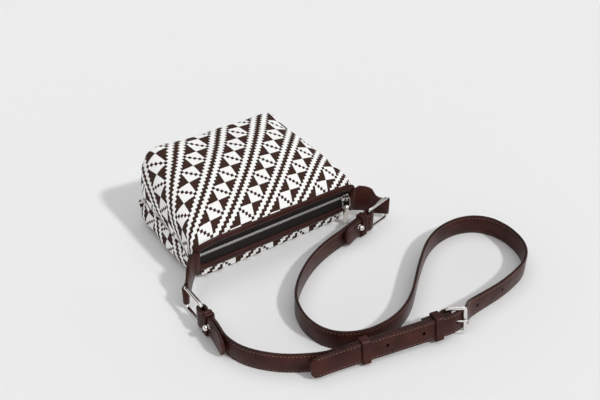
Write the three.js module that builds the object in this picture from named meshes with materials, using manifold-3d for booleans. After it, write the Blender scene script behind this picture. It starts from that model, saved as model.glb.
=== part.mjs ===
// Small zip-top crossbody bag of patterned woven cloth with leather trim and an adjustable leather strap.
// The bag lies on its back panel. Units are millimetres and +Z is up.
// X runs along the zip, Y from the mouth to the base, and the origin is the middle of the back panel.
import * as THREE from 'three';
import { mergeVertices } from 'three/addons/utils/BufferGeometryUtils.js';
import Module from 'manifold-3d';

// Bag body
const bagLength = 130;          // back panel, mouth to base
const mouthWidth = 212;         // from tip to tip of the mouth
const mouthBackZ = 14;          // back edge of the mouth above the surface
const mouthFrontZ = 54;         // front edge of the mouth above the surface
const mouthLean = 6;            // how far the front edge leans out past the back edge
const frontBaseWidth = 182;     // front panel across its base corners
const backBaseWidth = 206;      // back panel across its base corners
const backBulge = 5;            // how far the back panel's sides swell past the tips of the mouth
const baseShift = -7;           // the base has slumped a little to the left
const baseDepth = 96;           // height of the front panel at the base
const creaseMouthZ = 29;        // side seam height at the mouth
const creaseBaseZ = 29;         // side seam height at the base
const creaseInset = 6;          // how far the side seam is drawn in
const baseRounding = 18;        // length over which the panels turn into the base
const clothThickness = 2.4;     // woven cloth with its backing
const seamGap = 0.4;            // between the two panels along the seam

// Woven bands that run diagonally over the panels
const bandPeriod = 50;          // from one band to the next, along the mouth
const bandSteps = 8;            // columns of the cloth grid in a period
const bandRise = 1.31;          // rise of a band towards the base for each unit along the mouth
const ridgeHeight = 0.7;        // raised zigzag stripes
const ridgeProfile = [0, 0, 0, 0.5, 1, 0.4, 1, 0.5];

// Mouth trim and zip
const bindingWidth = 8;
const bindingThickness = 2.6;
const tapeThickness = 0.9;
const tapeTuck = 3.5;           // tape held under the binding
const zipZ = 36.5;              // height of the zip above the surface
const toothLength = 2.3;
const toothWidth = 1.3;
const toothPitch = 2.7;
const toothDepth = 2.8;
const zipSlit = 0.9;            // slit between the two rows, where the slider's post passes
const zipEndInset = 11.1;       // teeth end this far from the tips of the mouth
const trimGap = 0.35;           // between sewn pieces that lie on each other
const rimGap = 0.5;             // from the cloth's rim to the plane of the trim

// Slider and pull
const sliderLength = 10;
const sliderWidth = 9.4;
const sliderPlate = 1.5;
const sliderPost = 0.4;
const sliderInset = 14;         // closed slider from the right tip of the mouth
const bailWire = 1.5;
const bailWidth = 10;
const bailLength = 12;
const bridgeHeight = 3.6;
const pullLength = 22;
const pullWidth = 7.4;
const pullNeckWidth = 3.6;
const pullThickness = 1.8;
const pivotClearance = 0.4;

// Straps
const strapWidth = 23;
const strapThickness = 3.2;
const stackGap = 0.4;           // between two layers of strap
const holeDiameter = 3.8;
const holeSpacing = 39;
const holeCount = 5;

// Rings and end tabs
const ringWire = 2.9;
const ringLength = 34;          // between the middles of its two short sides
const ringClearance = 0.8;      // above and below the strap
const ringCorner = 3.4;
const loopRadius = 1.95;        // inside of an end tab's loop around a ring
const strapLoopRadius = 2.4;    // inside of a strap's loop around a ring
const tabLayer = 1.5;           // one leather layer of an end tab
const tabDepth = 34;            // end tab at the mouth
const tabShoulder = 28;         // full-depth part of an end tab, from the tip of the mouth
const tabArm = 7.4;             // part of the tab that lies over the mouth trim

// Strap ends, keepers, studs
const keeperWall = 1.6;
const keeperWidth = 8.4;
const keeperClearance = 0.5;
const endKeeperStart = 8.2;
const studDistance = 21;
const studPost = 3;
const studHead = 6.4;

// Buckle
const buckleWire = 3;
const buckleLength = 17.5;      // between the middles of heel bar and toe bar
const buckleClearance = 0.7;    // above and below the strap
const buckleCorner = 2.4;
const prongDiameter = 2.2;
const prongClearance = 0.45;
const strapLean = 9;            // degrees that the doubled strap leans back
const buckleX = 64;             // middle of the buckle's heel bar, at the doubled strap's lower edge
const buckleY = -279.3;
const doubledLength = 148;      // from the heel bar to the free tip
const slidingKeeperX = -95.5;   // from the heel bar
const fixedKeeperX = -16.9;
const prongHole = 9.5;          // from the heel bar to the hole that the prong is in
const prongSlot = 8.6;          // length of that worn hole

const wasm = await Module();
wasm.setup();

const rad = THREE.MathUtils.degToRad;
const V = (x, y, z) => new THREE.Vector3(x, y, z);

const colour = {
  weave: 0xd9d4cc, leather: 0x3a2420, metal: 0xc8c8c8, tape: 0x1c1a1a, teeth: 0x77777a,
};

const bag = new THREE.Group();

function addMesh(parent, name, geometry, hex, roughness, metalness) {
  const material = new THREE.MeshStandardMaterial({ color: hex, roughness, metalness });
  const mesh = new THREE.Mesh(geometry, material);
  mesh.name = name;
  parent.add(mesh);
  return mesh;
}
const addWeave = (parent, name, g) => addMesh(parent, name, g, colour.weave, 0.85, 0);
const addLeather = (parent, name, g) => addMesh(parent, name, g, colour.leather, 0.5, 0);
const addMetal = (parent, name, g) => addMesh(parent, name, g, colour.metal, 0.2, 1);

// Solids and booleans

function toSolid(geometry) {
  const bare = geometry.clone();
  for (const key of Object.keys(bare.attributes)) {
    if (key !== 'position') bare.deleteAttribute(key);
  }
  const merged = mergeVertices(bare, 1e-4);
  return new wasm.Manifold(new wasm.Mesh({
    numProp: 3,
    vertProperties: new Float32Array(merged.attributes.position.array),
    triVerts: new Uint32Array(merged.index.array),
  }));
}

function fromSolid(solid) {
  const mesh = solid.getMesh();
  const geometry = new THREE.BufferGeometry();
  geometry.setAttribute('position', new THREE.BufferAttribute(mesh.vertProperties, 3));
  geometry.setIndex(new THREE.BufferAttribute(mesh.triVerts, 1));
  return geometry;
}

const join = (...list) => fromSolid(list.map(toSolid).reduce((a, b) => a.add(b)));
const cut = (body, ...tools) => fromSolid(tools.map(toSolid).reduce((a, b) => a.subtract(b), toSolid(body)));
const common = (a, b) => fromSolid(toSolid(a).intersect(toSolid(b)));

function box(x0, x1, y0, y1, z0, z1) {
  const g = new THREE.BoxGeometry(x1 - x0, y1 - y0, z1 - z0);
  g.translate((x0 + x1) / 2, (y0 + y1) / 2, (z0 + z1) / 2);
  return g;
}

function meshFrom(points, triangles) {
  const geometry = new THREE.BufferGeometry();
  geometry.setAttribute('position', new THREE.Float32BufferAttribute(points.flatMap((p) => p.toArray()), 3));
  geometry.setIndex(triangles);
  return geometry;
}

// Cloth panels

const mouthY = -bagLength / 2;
const leanAngle = Math.atan2(mouthLean, mouthFrontZ - mouthBackZ);
const mix = (a, b, t) => a + (b - a) * t;
const smooth = (t) => t * t * (3 - 2 * t);
const rimY = bagLength / 2 - baseRounding;
const onMouthPlane = (z) => mouthY - (z - mouthBackZ) * Math.tan(leanAngle);

// Height of a panel's middle over the side seam, along the bag, as points of a smooth curve
const frontRise = mouthFrontZ - creaseMouthZ;
const frontFull = baseDepth - creaseBaseZ;
const frontProfile = new THREE.CatmullRomCurve3([
  V(onMouthPlane(mouthFrontZ), frontRise, 0),
  V(mix(mouthY, rimY, 0.08), mix(frontRise, frontFull, 0.33), 0),
  V(mix(mouthY, rimY, 0.3), mix(frontRise, frontFull, 0.58), 0),
  V(mix(mouthY, rimY, 0.62), mix(frontRise, frontFull, 0.86), 0),
  V(rimY, frontFull, 0),
]);
const backDrop = creaseMouthZ - mouthBackZ;
const backProfile = new THREE.CatmullRomCurve3([
  V(mouthY, backDrop, 0),
  V(mouthY - 0.3, mix(backDrop, creaseMouthZ, 0.45), 0),
  V(mouthY + 0.3, mix(backDrop, creaseMouthZ, 0.86), 0),
  V(mouthY + 3, creaseMouthZ, 0),
  V(mouthY + 10, creaseMouthZ + 0.6, 0),
  V(rimY, creaseBaseZ + 0.6, 0),
]);
const backHemSteps = [0, 4.6, 9.2, 13, 17, 22];

// One cross-section of a panel, from the left side seam over the middle to the right side seam
function panelSection(y, height, along, close, front, columns) {
  const seamZ = mix(creaseMouthZ, creaseBaseZ, along);
  const swell = backBulge * Math.sin(Math.PI * Math.min(1, along * 1.2));
  const seamHalf = mix(mouthWidth / 2, (frontBaseWidth + backBaseWidth) / 4, along) * (1 - 0.03 * close);
  const farHalf = (front ? mix(mouthWidth / 2 - 2, frontBaseWidth / 2, along)
    : mix(mouthWidth / 2 - 3, backBaseWidth / 2, along) + swell) * (1 - 0.03 * close);
  const inset = creaseInset * smooth(Math.min(1, along * 3));
  const full = Math.max(height, 0.01);
  const power = mix(0.32, 0.4, smooth(Math.min(1, along * 2)));
  const fine = [];
  const count = 240;
  for (let i = 0; i <= count; i += 1) {
    const a = mix(-Math.PI / 2, Math.PI / 2, i / count);
    const up = Math.pow(Math.abs(Math.cos(a)), power);
    const out = Math.sign(a) * Math.pow(Math.abs(Math.sin(a)), power);
    const rise = height * (i === 0 || i === count ? 0 : up);
    const drawn = inset * Math.exp(-Math.pow(rise / 9, 2)) * (height / (height + 12));
    const half = mix(seamHalf, farHalf, Math.min(1, rise / full)) - drawn;
    const z = front ? seamZ + rise : Math.max(0, seamZ - rise);
    const tilt = Math.pow(Math.max(0, 1 - along * 4), 2);
    const lean = front ? onMouthPlane(z) - onMouthPlane(seamZ + full)
      : onMouthPlane(Math.max(z, mouthBackZ)) - mouthY;
    fine.push(V(out * half + baseShift * along, y + lean * tilt, z));
  }
  const length = [0];
  for (let i = 1; i <= count; i += 1) length.push(length[i - 1] + fine[i].distanceTo(fine[i - 1]));
  const row = [];
  let k = 0;
  for (let c = 0; c <= columns; c += 1) {
    const want = (length[count] * c) / columns;
    while (k < count - 1 && length[k + 1] < want) k += 1;
    const t = (want - length[k]) / (length[k + 1] - length[k]);
    row.push(fine[k].clone().lerp(fine[k + 1], t));
  }
  return row;
}

// Rows from the mouth to the rim, then down the base to its seam
function panelGrid(front) {
  const profile = front ? frontProfile : backProfile;
  const seamRise = front ? frontFull : creaseBaseZ + 0.6;
  const step = (bandPeriod / bandSteps) * bandRise;
  const hem = front ? [0] : backHemSteps;
  const rest = profile.getLength() - hem[hem.length - 1];
  const restRows = Math.round(rest / step) + ((Math.round(rest / step) + hem.length - 1) % 2);
  const stops = [...hem];
  for (let r = 1; r <= restRows; r += 1) stops.push(hem[hem.length - 1] + (rest * r) / restRows);
  const baseRows = 2 * Math.round((baseRounding * 0.6 + seamRise) / step / 2);
  const middleWidth = (front ? frontBaseWidth : backBaseWidth) + seamRise * 1.7;
  const columns = 2 * Math.round(middleWidth / (bandPeriod / bandSteps) / 2);
  const rows = [];
  for (const stop of stops) {
    const p = profile.getPointAt(Math.min(1, stop / profile.getLength()));
    const along = Math.min(1, Math.max(0, (p.x - mouthY) / (rimY - mouthY)));
    rows.push(panelSection(p.x, p.y, along, 0, front, columns));
  }
  const fine = [];
  for (let i = 0; i <= 200; i += 1) {
    const a = (Math.PI / 2) * (i / 200);
    const reach = Math.pow(Math.sin(a), 0.42);
    const left = i === 200 ? 0 : Math.pow(Math.cos(a), 0.42);
    fine.push(V(rimY + baseRounding * reach, seamRise * left, reach));
  }
  const curve = new THREE.CatmullRomCurve3(fine);
  for (let r = 1; r <= baseRows; r += 1) {
    const p = curve.getPointAt(r / baseRows);
    rows.push(panelSection(p.x, Math.max(0, p.y), 1, p.z, front, columns));
  }
  const seam = rows[rows.length - 1];
  const clear = (front ? 1 : -1) * (seamGap / 2);
  for (const row of rows) {
    row[0].z += clear;
    row[columns].z += clear;
  }
  for (let c = 1; c < columns; c += 1) seam[c].z += clear;
  return rows;
}

// Normals of the grid, pointing out of the bag
function gridNormals(rows, front) {
  const last = rows.length - 1;
  const end = rows[0].length - 1;
  return rows.map((row, r) => row.map((p, c) => {
    const across = row[Math.min(end, c + 1)].clone().sub(row[Math.max(0, c - 1)]);
    const along = rows[Math.min(last, r + 1)][c].clone().sub(rows[Math.max(0, r - 1)][c]);
    const n = across.cross(along).normalize();
    if (!front) n.negate();
    return n;
  }));
}

function panelSolid(front) {
  const rows = panelGrid(front);
  const normals = gridNormals(rows, front);
  const nr = rows.length - 1;
  const nc = rows[0].length - 1;
  const points = [];
  const outer = [];
  const inner = [];
  for (let r = 0; r <= nr; r += 1) {
    outer.push([]);
    for (let c = 0; c <= nc; c += 1) {
      const phase = (((front ? c - r : c + r) % bandSteps) + bandSteps) % bandSteps;
      const edge = r === 0 || r === nr || c === 0 || c === nc;
      const low = !front && rows[r][c].z < 1.5;
      const lift = edge || low ? 0 : ridgeHeight * ridgeProfile[phase];
      outer[r].push(points.push(rows[r][c].clone().addScaledVector(normals[r][c], lift)) - 1);
    }
  }
  for (let r = 0; r <= nr; r += 2) {
    inner.push([]);
    for (let c = 0; c <= nc; c += 2) {
      const p = rows[r][c].clone();
      let n = normals[r][c].clone();
      const side = c === 0 ? -1 : 1;
      if (r === 0) n.setY(0).normalize();
      if (r === nr) n = V(0, 1, 0);
      if (c === 0 || c === nc) n = V(side, r === nr ? 1 : 0, 0);
      inner[r / 2].push(points.push(p.addScaledVector(n, -clothThickness)) - 1);
    }
  }
  const tri = [];
  const face = (a, b, c) => (front ? tri.push(a, b, c) : tri.push(a, c, b));
  for (let r = 0; r < nr; r += 1) {
    for (let c = 0; c < nc; c += 1) {
      const [a, b, d, e] = [outer[r][c], outer[r][c + 1], outer[r + 1][c + 1], outer[r + 1][c]];
      if (front) { face(a, b, d); face(a, d, e); } else { face(a, b, e); face(b, d, e); }
    }
  }
  for (let r = 0; r < nr / 2; r += 1) {
    for (let c = 0; c < nc / 2; c += 1) {
      const [a, b, d, e] = [inner[r][c], inner[r][c + 1], inner[r + 1][c + 1], inner[r + 1][c]];
      face(a, d, b);
      face(a, e, d);
    }
  }
  const rim = (o0, o1, o2, i0, i1) => { face(o0, i0, o1); face(o1, i0, i1); face(o1, i1, o2); };
  for (let c = 0; c < nc; c += 2) {
    rim(outer[0][c], outer[0][c + 1], outer[0][c + 2], inner[0][c / 2], inner[0][c / 2 + 1]);
    rim(outer[nr][c + 2], outer[nr][c + 1], outer[nr][c], inner[nr / 2][c / 2 + 1], inner[nr / 2][c / 2]);
  }
  for (let r = 0; r < nr; r += 2) {
    rim(outer[r + 2][0], outer[r + 1][0], outer[r][0], inner[r / 2 + 1][0], inner[r / 2][0]);
    rim(outer[r][nc], outer[r + 1][nc], outer[r + 2][nc], inner[r / 2][nc / 2], inner[r / 2 + 1][nc / 2]);
  }
  return meshFrom(points, tri);
}

addWeave(bag, 'front_panel', panelSolid(true));
addWeave(bag, 'back_panel', panelSolid(false));

// Mouth: a group whose XZ plane is the plane of the mouth's edge, with -Y facing out of the bag
const mouth = new THREE.Group();
mouth.position.set(0, mouthY - rimGap, mouthBackZ);
mouth.rotation.x = leanAngle;
bag.add(mouth);
const onPlane = (z) => (z - mouthBackZ) / Math.cos(leanAngle);
const mouthTop = onPlane(mouthFrontZ);
const mouthTip = onPlane(creaseMouthZ);
const zipLine = onPlane(zipZ);

// Outline of the mouth, drawn in by inset, upper or lower half
function mouthHalf(upper, inset, steps) {
  const half = mouthWidth / 2 - 1 - inset;
  const rise = (upper ? mouthTop - mouthTip : mouthTip) - inset;
  const points = [];
  for (let i = 0; i <= steps; i += 1) {
    const a = mix(-Math.PI / 2, Math.PI / 2, i / steps);
    const x = Math.sign(a) * Math.pow(Math.abs(Math.sin(a)), 0.3) * half;
    const up = i === 0 || i === steps ? 0 : Math.pow(Math.cos(a), 0.3) * rise;
    points.push(new THREE.Vector2(x, mouthTip + (upper ? up : -up)));
  }
  return points;
}

function plate(outline, y0, y1) {
  const g = new THREE.ExtrudeGeometry(new THREE.Shape(outline), { depth: y1 - y0, bevelEnabled: false });
  g.rotateX(Math.PI / 2);
  g.translate(0, y1, 0);
  return g;
}

// The outline is drawn in XZ; a plate lies between two values of Y
function binding(upper) {
  const outer = mouthHalf(upper, -1, 20);
  const inner = mouthHalf(upper, bindingWidth - 1, 20).reverse();
  const clear = upper ? seamGap / 2 : -seamGap / 2;
  for (const p of [outer[0], outer[20], inner[0], inner[20]]) p.y += clear;
  return plate([...outer, ...inner], -trimGap - bindingThickness, -trimGap);
}
addLeather(mouth, 'front_binding', binding(true));
addLeather(mouth, 'back_binding', binding(false));

const tapeEdge = zipSlit / 2 + toothLength + trimGap;
function tape(upper) {
  const inset = bindingWidth - 1 - tapeTuck;
  const edge = mouthHalf(upper, inset, 20);
  const line = zipLine + (upper ? tapeEdge : -tapeEdge);
  const past = (p) => (upper ? p.y > line + 0.5 : p.y < line - 0.5);
  const kept = edge.filter(past);
  const first = kept[0].clone().setY(line);
  const last = kept[kept.length - 1].clone().setY(line);
  return plate([first, ...kept, last], 0.2, 0.2 + tapeThickness);
}
addMesh(mouth, 'zip_tape_front', tape(true), colour.tape, 0.9, 0);
addMesh(mouth, 'zip_tape_back', tape(false), colour.tape, 0.9, 0);

// Teeth of one row, as a comb on the cord that they are pressed on
const teethStart = -mouthWidth / 2 + zipEndInset;
const teethEnd = mouthWidth / 2 - zipEndInset;
const toothMid = 0.2 + tapeThickness / 2;
function teeth(upper) {
  const side = upper ? 1 : -1;
  const cord = 0.9;
  const tip = zipLine + (side * zipSlit) / 2;
  const root = zipLine + side * (zipSlit / 2 + toothLength - cord);
  const back = zipLine + side * (zipSlit / 2 + toothLength);
  const count = Math.floor((teethEnd - teethStart - toothPitch) / toothPitch);
  const offset = upper ? 0.4 : 0.4 + toothPitch / 2;
  const outline = [[teethEnd, back], [teethStart, back], [teethStart, root]];
  for (let i = 0; i < count; i += 1) {
    const x = teethStart + offset + i * toothPitch;
    outline.push([x, root], [x, tip], [x + toothWidth, tip], [x + toothWidth, root]);
  }
  outline.push([teethEnd, root]);
  const shape = outline.map(([x, z]) => new THREE.Vector2(x, z));
  return plate(shape, toothMid - toothDepth / 2, toothMid + toothDepth / 2);
}
addMesh(mouth, 'zip_teeth_front', teeth(true), colour.teeth, 0.35, 1);
addMesh(mouth, 'zip_teeth_back', teeth(false), colour.teeth, 0.35, 1);

// Stops: one across both rows at the open end, one on each row at the closed end
const stopLength = 2.2;
const stopReach = zipSlit / 2 + toothLength;
function stop(x, z0, z1) {
  return box(x, x + stopLength, toothMid - toothDepth / 2, toothMid + toothDepth / 2, z0, z1);
}
const bottomStopX = teethStart - trimGap - stopLength;
addMetal(mouth, 'zip_bottom_stop', stop(bottomStopX, zipLine - stopReach, zipLine + stopReach));
addMetal(mouth, 'zip_top_stop_front', stop(teethEnd + trimGap, zipLine + zipSlit / 2, zipLine + stopReach));
addMetal(mouth, 'zip_top_stop_back', stop(teethEnd + trimGap, zipLine - stopReach, zipLine - zipSlit / 2));

// Slider: two plates round the teeth on a thin post, with a bridge for the wire bail
const sliderX = mouthWidth / 2 - sliderInset;
const runGap = 0.35;
const frontFace = toothMid - toothDepth / 2 - runGap;
const backFace = toothMid + toothDepth / 2 + runGap;
function sliderPlateShape(y0, y1) {
  const l = sliderLength / 2;
  const w = sliderWidth / 2;
  const outline = [[-l, -w * 0.7], [-l * 0.5, -w], [l * 0.5, -w], [l, -w * 0.55], [l, w * 0.55],
    [l * 0.5, w], [-l * 0.5, w], [-l, w * 0.7]].map(([x, z]) => new THREE.Vector2(x, z));
  return plate(outline, y0, y1);
}
const lipInner = tapeEdge + 0.1;
const lipHalf = sliderLength * 0.22;
const lips = [1, -1].map((side) => box(-lipHalf, lipHalf, frontFace - 0.1, 0.2 - runGap,
  side > 0 ? lipInner : -sliderWidth / 2, side > 0 ? sliderWidth / 2 : -lipInner));
const bridgeWidth = 3;
const bridgeReach = 2.9;
const bridgeWall = 1.1;
const bridgeFace = frontFace - sliderPlate - bridgeHeight;
const bridgeFeet = [-1, 1].map((side) => box(-bridgeWidth / 2, bridgeWidth / 2, bridgeFace,
  frontFace - sliderPlate + 0.1, side > 0 ? bridgeReach - bridgeWall : -bridgeReach,
  side > 0 ? bridgeReach : bridgeWall - bridgeReach));
const bridgeTop = box(-bridgeWidth / 2, bridgeWidth / 2, bridgeFace - 0.1, bridgeFace + bridgeWall,
  -bridgeReach, bridgeReach);
const sliderGroup = new THREE.Group();
sliderGroup.position.set(sliderX, 0, zipLine);
mouth.add(sliderGroup);
addMetal(sliderGroup, 'slider_body', join(
  sliderPlateShape(frontFace - sliderPlate, frontFace),
  sliderPlateShape(backFace, backFace + sliderPlate * 0.8),
  box(-sliderLength * 0.3, sliderLength * 0.2, frontFace - 0.1, backFace + 0.1,
    -sliderPost / 2, sliderPost / 2),
  ...lips, ...bridgeFeet, bridgeTop,
));

// A round or flat bar swept along a path. Each station gives a point and two unit directions.
function sweep(stations, section, closed) {
  const points = [];
  for (const s of stations) {
    for (const [a, b] of section) points.push(s.p.clone().addScaledVector(s.a, a).addScaledVector(s.b, b));
  }
  const m = section.length;
  const n = stations.length;
  const tri = [];
  for (let i = 0; i < (closed ? n : n - 1); i += 1) {
    for (let j = 0; j < m; j += 1) {
      const q = [i * m + j, i * m + ((j + 1) % m), ((i + 1) % n) * m + ((j + 1) % m), ((i + 1) % n) * m + j];
      tri.push(q[0], q[1], q[2], q[0], q[2], q[3]);
    }
  }
  if (!closed) {
    for (let j = 1; j < m - 1; j += 1) {
      tri.push(0, j + 1, j);
      tri.push((n - 1) * m, (n - 1) * m + j, (n - 1) * m + j + 1);
    }
  }
  const geometry = meshFrom(points, tri);
  if (toSolid(geometry).volume() < 0) {
    for (let i = 0; i < tri.length; i += 3) [tri[i + 1], tri[i + 2]] = [tri[i + 2], tri[i + 1]];
    return meshFrom(points, tri);
  }
  return geometry;
}

function roundSection(diameter, sides, flatness = 1) {
  const r = diameter / 2 / Math.cos(Math.PI / sides);
  return Array.from({ length: sides }, (_, i) => {
    const a = (2 * Math.PI * (i + 0.5)) / sides;
    return [r * Math.cos(a), r * flatness * Math.sin(a)];
  });
}

// A closed wire in the XZ plane: a rectangle with rounded corners, w long and h high, middle to middle
function wireLoop(w, h, corner, wire, sides) {
  const stations = [];
  const arc = 4;
  const centres = [[w / 2 - corner, h / 2 - corner, 0], [-w / 2 + corner, h / 2 - corner, 1],
    [-w / 2 + corner, -h / 2 + corner, 2], [w / 2 - corner, -h / 2 + corner, 3]];
  for (const [cx, cz, quarter] of centres) {
    for (let i = 0; i <= arc; i += 1) {
      const a = (Math.PI / 2) * (quarter + i / arc);
      const out = V(Math.cos(a), 0, Math.sin(a));
      stations.push({ p: V(cx, 0, cz).addScaledVector(out, corner), a: out, b: V(0, 1, 0) });
    }
  }
  return sweep(stations, roundSection(wire, sides), true);
}

// Bail: hangs from the bridge over the back binding, turning about X
const bailPivotY = bridgeFace + bridgeWall + bailWire / 2 + pivotClearance;
const bailLean = 8;
const bail = new THREE.Group();
bail.position.set(0, bailPivotY, 0);
bail.rotation.x = -leanAngle - rad(bailLean);
sliderGroup.add(bail);
const bailInner = wireLoop(bailWidth, bailLength, 2.2, bailWire, 6);
bailInner.translate(0, 0, -bailLength / 2);
addMetal(bail, 'slider_bail', bailInner);

// Pull: a flat cast tab with a neck and an eye that the bail's lower bar passes through
const pull = new THREE.Group();
pull.position.set(0, 0, -bailLength);
pull.rotation.x = rad(bailLean);
bail.add(pull);
function pullShape() {
  const n = pullNeckWidth / 2;
  const w = pullWidth / 2;
  const eye = bailWire / 2 + pivotClearance;
  const outline = [[-n, 0], [-n, -6], [-w, -8], [-w * 0.92, -pullLength], [w * 0.92, -pullLength],
    [w, -8], [n, -6], [n, 0]];
  const body = new THREE.Shape(outline.map(([x, z]) => new THREE.Vector2(x, z)));
  const flat = new THREE.ExtrudeGeometry(body, { depth: pullThickness, bevelEnabled: false });
  flat.rotateX(Math.PI / 2);
  flat.translate(0, pullThickness / 2, 0);
  const barrel = new THREE.CylinderGeometry(eye + 1, eye + 1, pullNeckWidth, 12);
  barrel.rotateZ(Math.PI / 2);
  const hole = new THREE.CylinderGeometry(eye, eye, pullNeckWidth + 2, 12);
  hole.rotateZ(Math.PI / 2);
  return cut(join(flat, barrel), hole);
}
addMetal(pull, 'pull_tab', pullShape());

// Straps. Each station is a point of the middle line, the strap's lean there and its share of full width.
const floorGap = 0.3;
const halfWidth = strapWidth / 2;
const station = (x, y, z, lean = 0, share = 1) => ({ x, y, z, lean, share });

// A station of a strap that stands on its edge on the surface
function standing(x, y, lean = 0, share = 1) {
  const z = floorGap + halfWidth * Math.cos(rad(lean)) + (strapThickness / 2) * Math.abs(Math.sin(rad(lean)));
  return station(x, y, z, lean, share);
}

function strapLine(stations) {
  const curve = new THREE.CatmullRomCurve3(stations.map((s) => V(s.x, s.y, s.z)));
  const last = stations.length - 1;
  const samples = [];
  for (let i = 0; i < last; i += 1) {
    const a = curve.getPoint(i / last);
    const b = curve.getPoint((i + 1) / last);
    const turn = curve.getTangent(i / last).angleTo(curve.getTangent((i + 1) / last));
    const steps = Math.max(1, Math.ceil(Math.max(a.distanceTo(b) / 14, turn / rad(15))));
    for (let k = 0; k < steps; k += 1) samples.push((i + k / steps) / last);
  }
  samples.push(1);
  return samples.map((t) => {
    const at = Math.min(last - 1e-6, t * last);
    const i = Math.floor(at);
    const f = at - i;
    const along = curve.getTangent(t);
    const side = V(-along.y, along.x, 0).normalize();
    const up = along.clone().cross(side).normalize();
    const lean = rad(mix(stations[i].lean, stations[i + 1].lean, f));
    const share = mix(stations[i].share, stations[i + 1].share, f);
    const wide = up.multiplyScalar(Math.cos(lean)).addScaledVector(side, Math.sin(lean));
    const thick = wide.clone().cross(along).normalize();
    return { p: curve.getPoint(t), a: thick, b: wide.multiplyScalar(share) };
  });
}

const strapSection = [[1, 1], [-1, 1], [-1, -1], [1, -1]]
  .map(([a, b]) => [(a * strapThickness) / 2, b * halfWidth]);

// End tabs, rings and strap ends are set out from the tips of the mouth
const ringHeight = strapWidth + 2 * ringClearance + ringWire;
const ringZ = floorGap + ringWire / 2 + ringHeight / 2;
const tabLoopDepth = 20;
const studRaise = 4;
const tabFront = mouthY - rimGap - onPlane(creaseMouthZ) * Math.sin(leanAngle)
  - (2 * trimGap + bindingThickness + tabLayer / 2) * Math.cos(leanAngle);
const layerStep = strapThickness + stackGap;

const ends = {
  right: {
    tip: 1, reach: 36.2, flapSide: 1, flap: 43, splay: 2,
    tabAngle: rad(-32), ringAngle: rad(-166), strapAngle: rad(-169),
  },
  left: {
    tip: -1, reach: 33.2, flapSide: -1, flap: 50, splay: 3.5,
    tabAngle: rad(-131.7), ringAngle: rad(-90), strapAngle: rad(-90),
  },
};
for (const end of Object.values(ends)) {
  const along = (angle) => V(Math.cos(angle), Math.sin(angle), 0);
  end.root = V(end.tip * (mouthWidth / 2 + 1.6), tabFront, 0);
  end.tabBar = end.root.clone().addScaledVector(along(end.tabAngle), end.reach);
  end.strapBar = end.tabBar.clone().addScaledVector(along(end.ringAngle), ringLength);
  end.away = along(end.strapAngle);
  end.side = V(-end.away.y, end.away.x, 0).multiplyScalar(end.flapSide);
  end.place = (s, n) => end.strapBar.clone().addScaledVector(end.away, s).addScaledVector(end.side, n);
}

// End tab: an arm over the mouth trim, a deep plate, and a narrow loop round the ring
function endTab(end) {
  const depth = tabDepth / 2;
  const top = creaseMouthZ + depth;
  const loopTop = ringZ + (ringHeight - ringWire) / 2 - 2;
  const low = loopTop - tabLoopDepth;
  const outer = loopRadius + tabLayer;
  const profile = new THREE.Shape();
  profile.moveTo(-1, creaseMouthZ - depth);
  profile.lineTo(-1, top);
  profile.quadraticCurveTo(tabShoulder * 0.6, top, tabShoulder * 0.72, top - 8);
  profile.quadraticCurveTo(tabShoulder * 0.85, loopTop, end.reach - outer * 0.4, loopTop);
  profile.lineTo(end.reach + outer + 1, loopTop);
  profile.lineTo(end.reach + outer + 1, low);
  profile.lineTo(end.reach - outer, low);
  profile.quadraticCurveTo(tabShoulder * 0.7, low, tabShoulder * 0.5, low + 3);
  const side = new THREE.ExtrudeGeometry(profile, { depth: 40, bevelEnabled: false, curveSegments: 5 });
  side.rotateX(Math.PI / 2);
  side.translate(0, 20, 0);
  const loop = new THREE.CylinderGeometry(outer, outer, 80, 20);
  loop.rotateX(Math.PI / 2);
  loop.translate(end.reach, 0, 30);
  const hole = new THREE.CylinderGeometry(loopRadius, loopRadius, 90, 20);
  hole.rotateX(Math.PI / 2);
  hole.translate(end.reach, 0, 30);
  const stem = box(-0.5, end.reach - loopRadius, -tabLayer, tabLayer, -5, 70);
  const leaf = common(cut(join(stem, loop), hole), side);
  leaf.rotateZ(end.tabAngle);
  leaf.translate(end.root.x, end.root.y, 0);
  const near = end.tip * (mouthWidth / 2 - tabArm);
  const far = end.tip * (mouthWidth / 2 + 2.8);
  const slant = near + end.tip * 3;
  const outline = [[near, mouthTip - depth + 3], [near, mouthTip + depth - 3], [slant, mouthTip + depth],
    [far, mouthTip + depth], [far, mouthTip - depth], [slant, mouthTip - depth]];
  const under = -2 * trimGap - bindingThickness;
  const arm = plate(outline.map(([x, z]) => new THREE.Vector2(x, z)), under - tabLayer, under);
  mouth.updateMatrix();
  arm.applyMatrix4(mouth.matrix);
  return join(leaf, arm);
}
addLeather(bag, 'left_end_tab', endTab(ends.left));
addLeather(bag, 'right_end_tab', endTab(ends.right));

function ring(name, end) {
  const group = new THREE.Group();
  group.position.copy(end.tabBar).add(end.strapBar).multiplyScalar(0.5).setZ(ringZ);
  group.rotation.z = end.ringAngle;
  bag.add(group);
  addMetal(group, name, wireLoop(ringLength, ringHeight, ringCorner, ringWire, 8));
}
ring('left_ring', ends.left);
ring('right_ring', ends.right);

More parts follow.
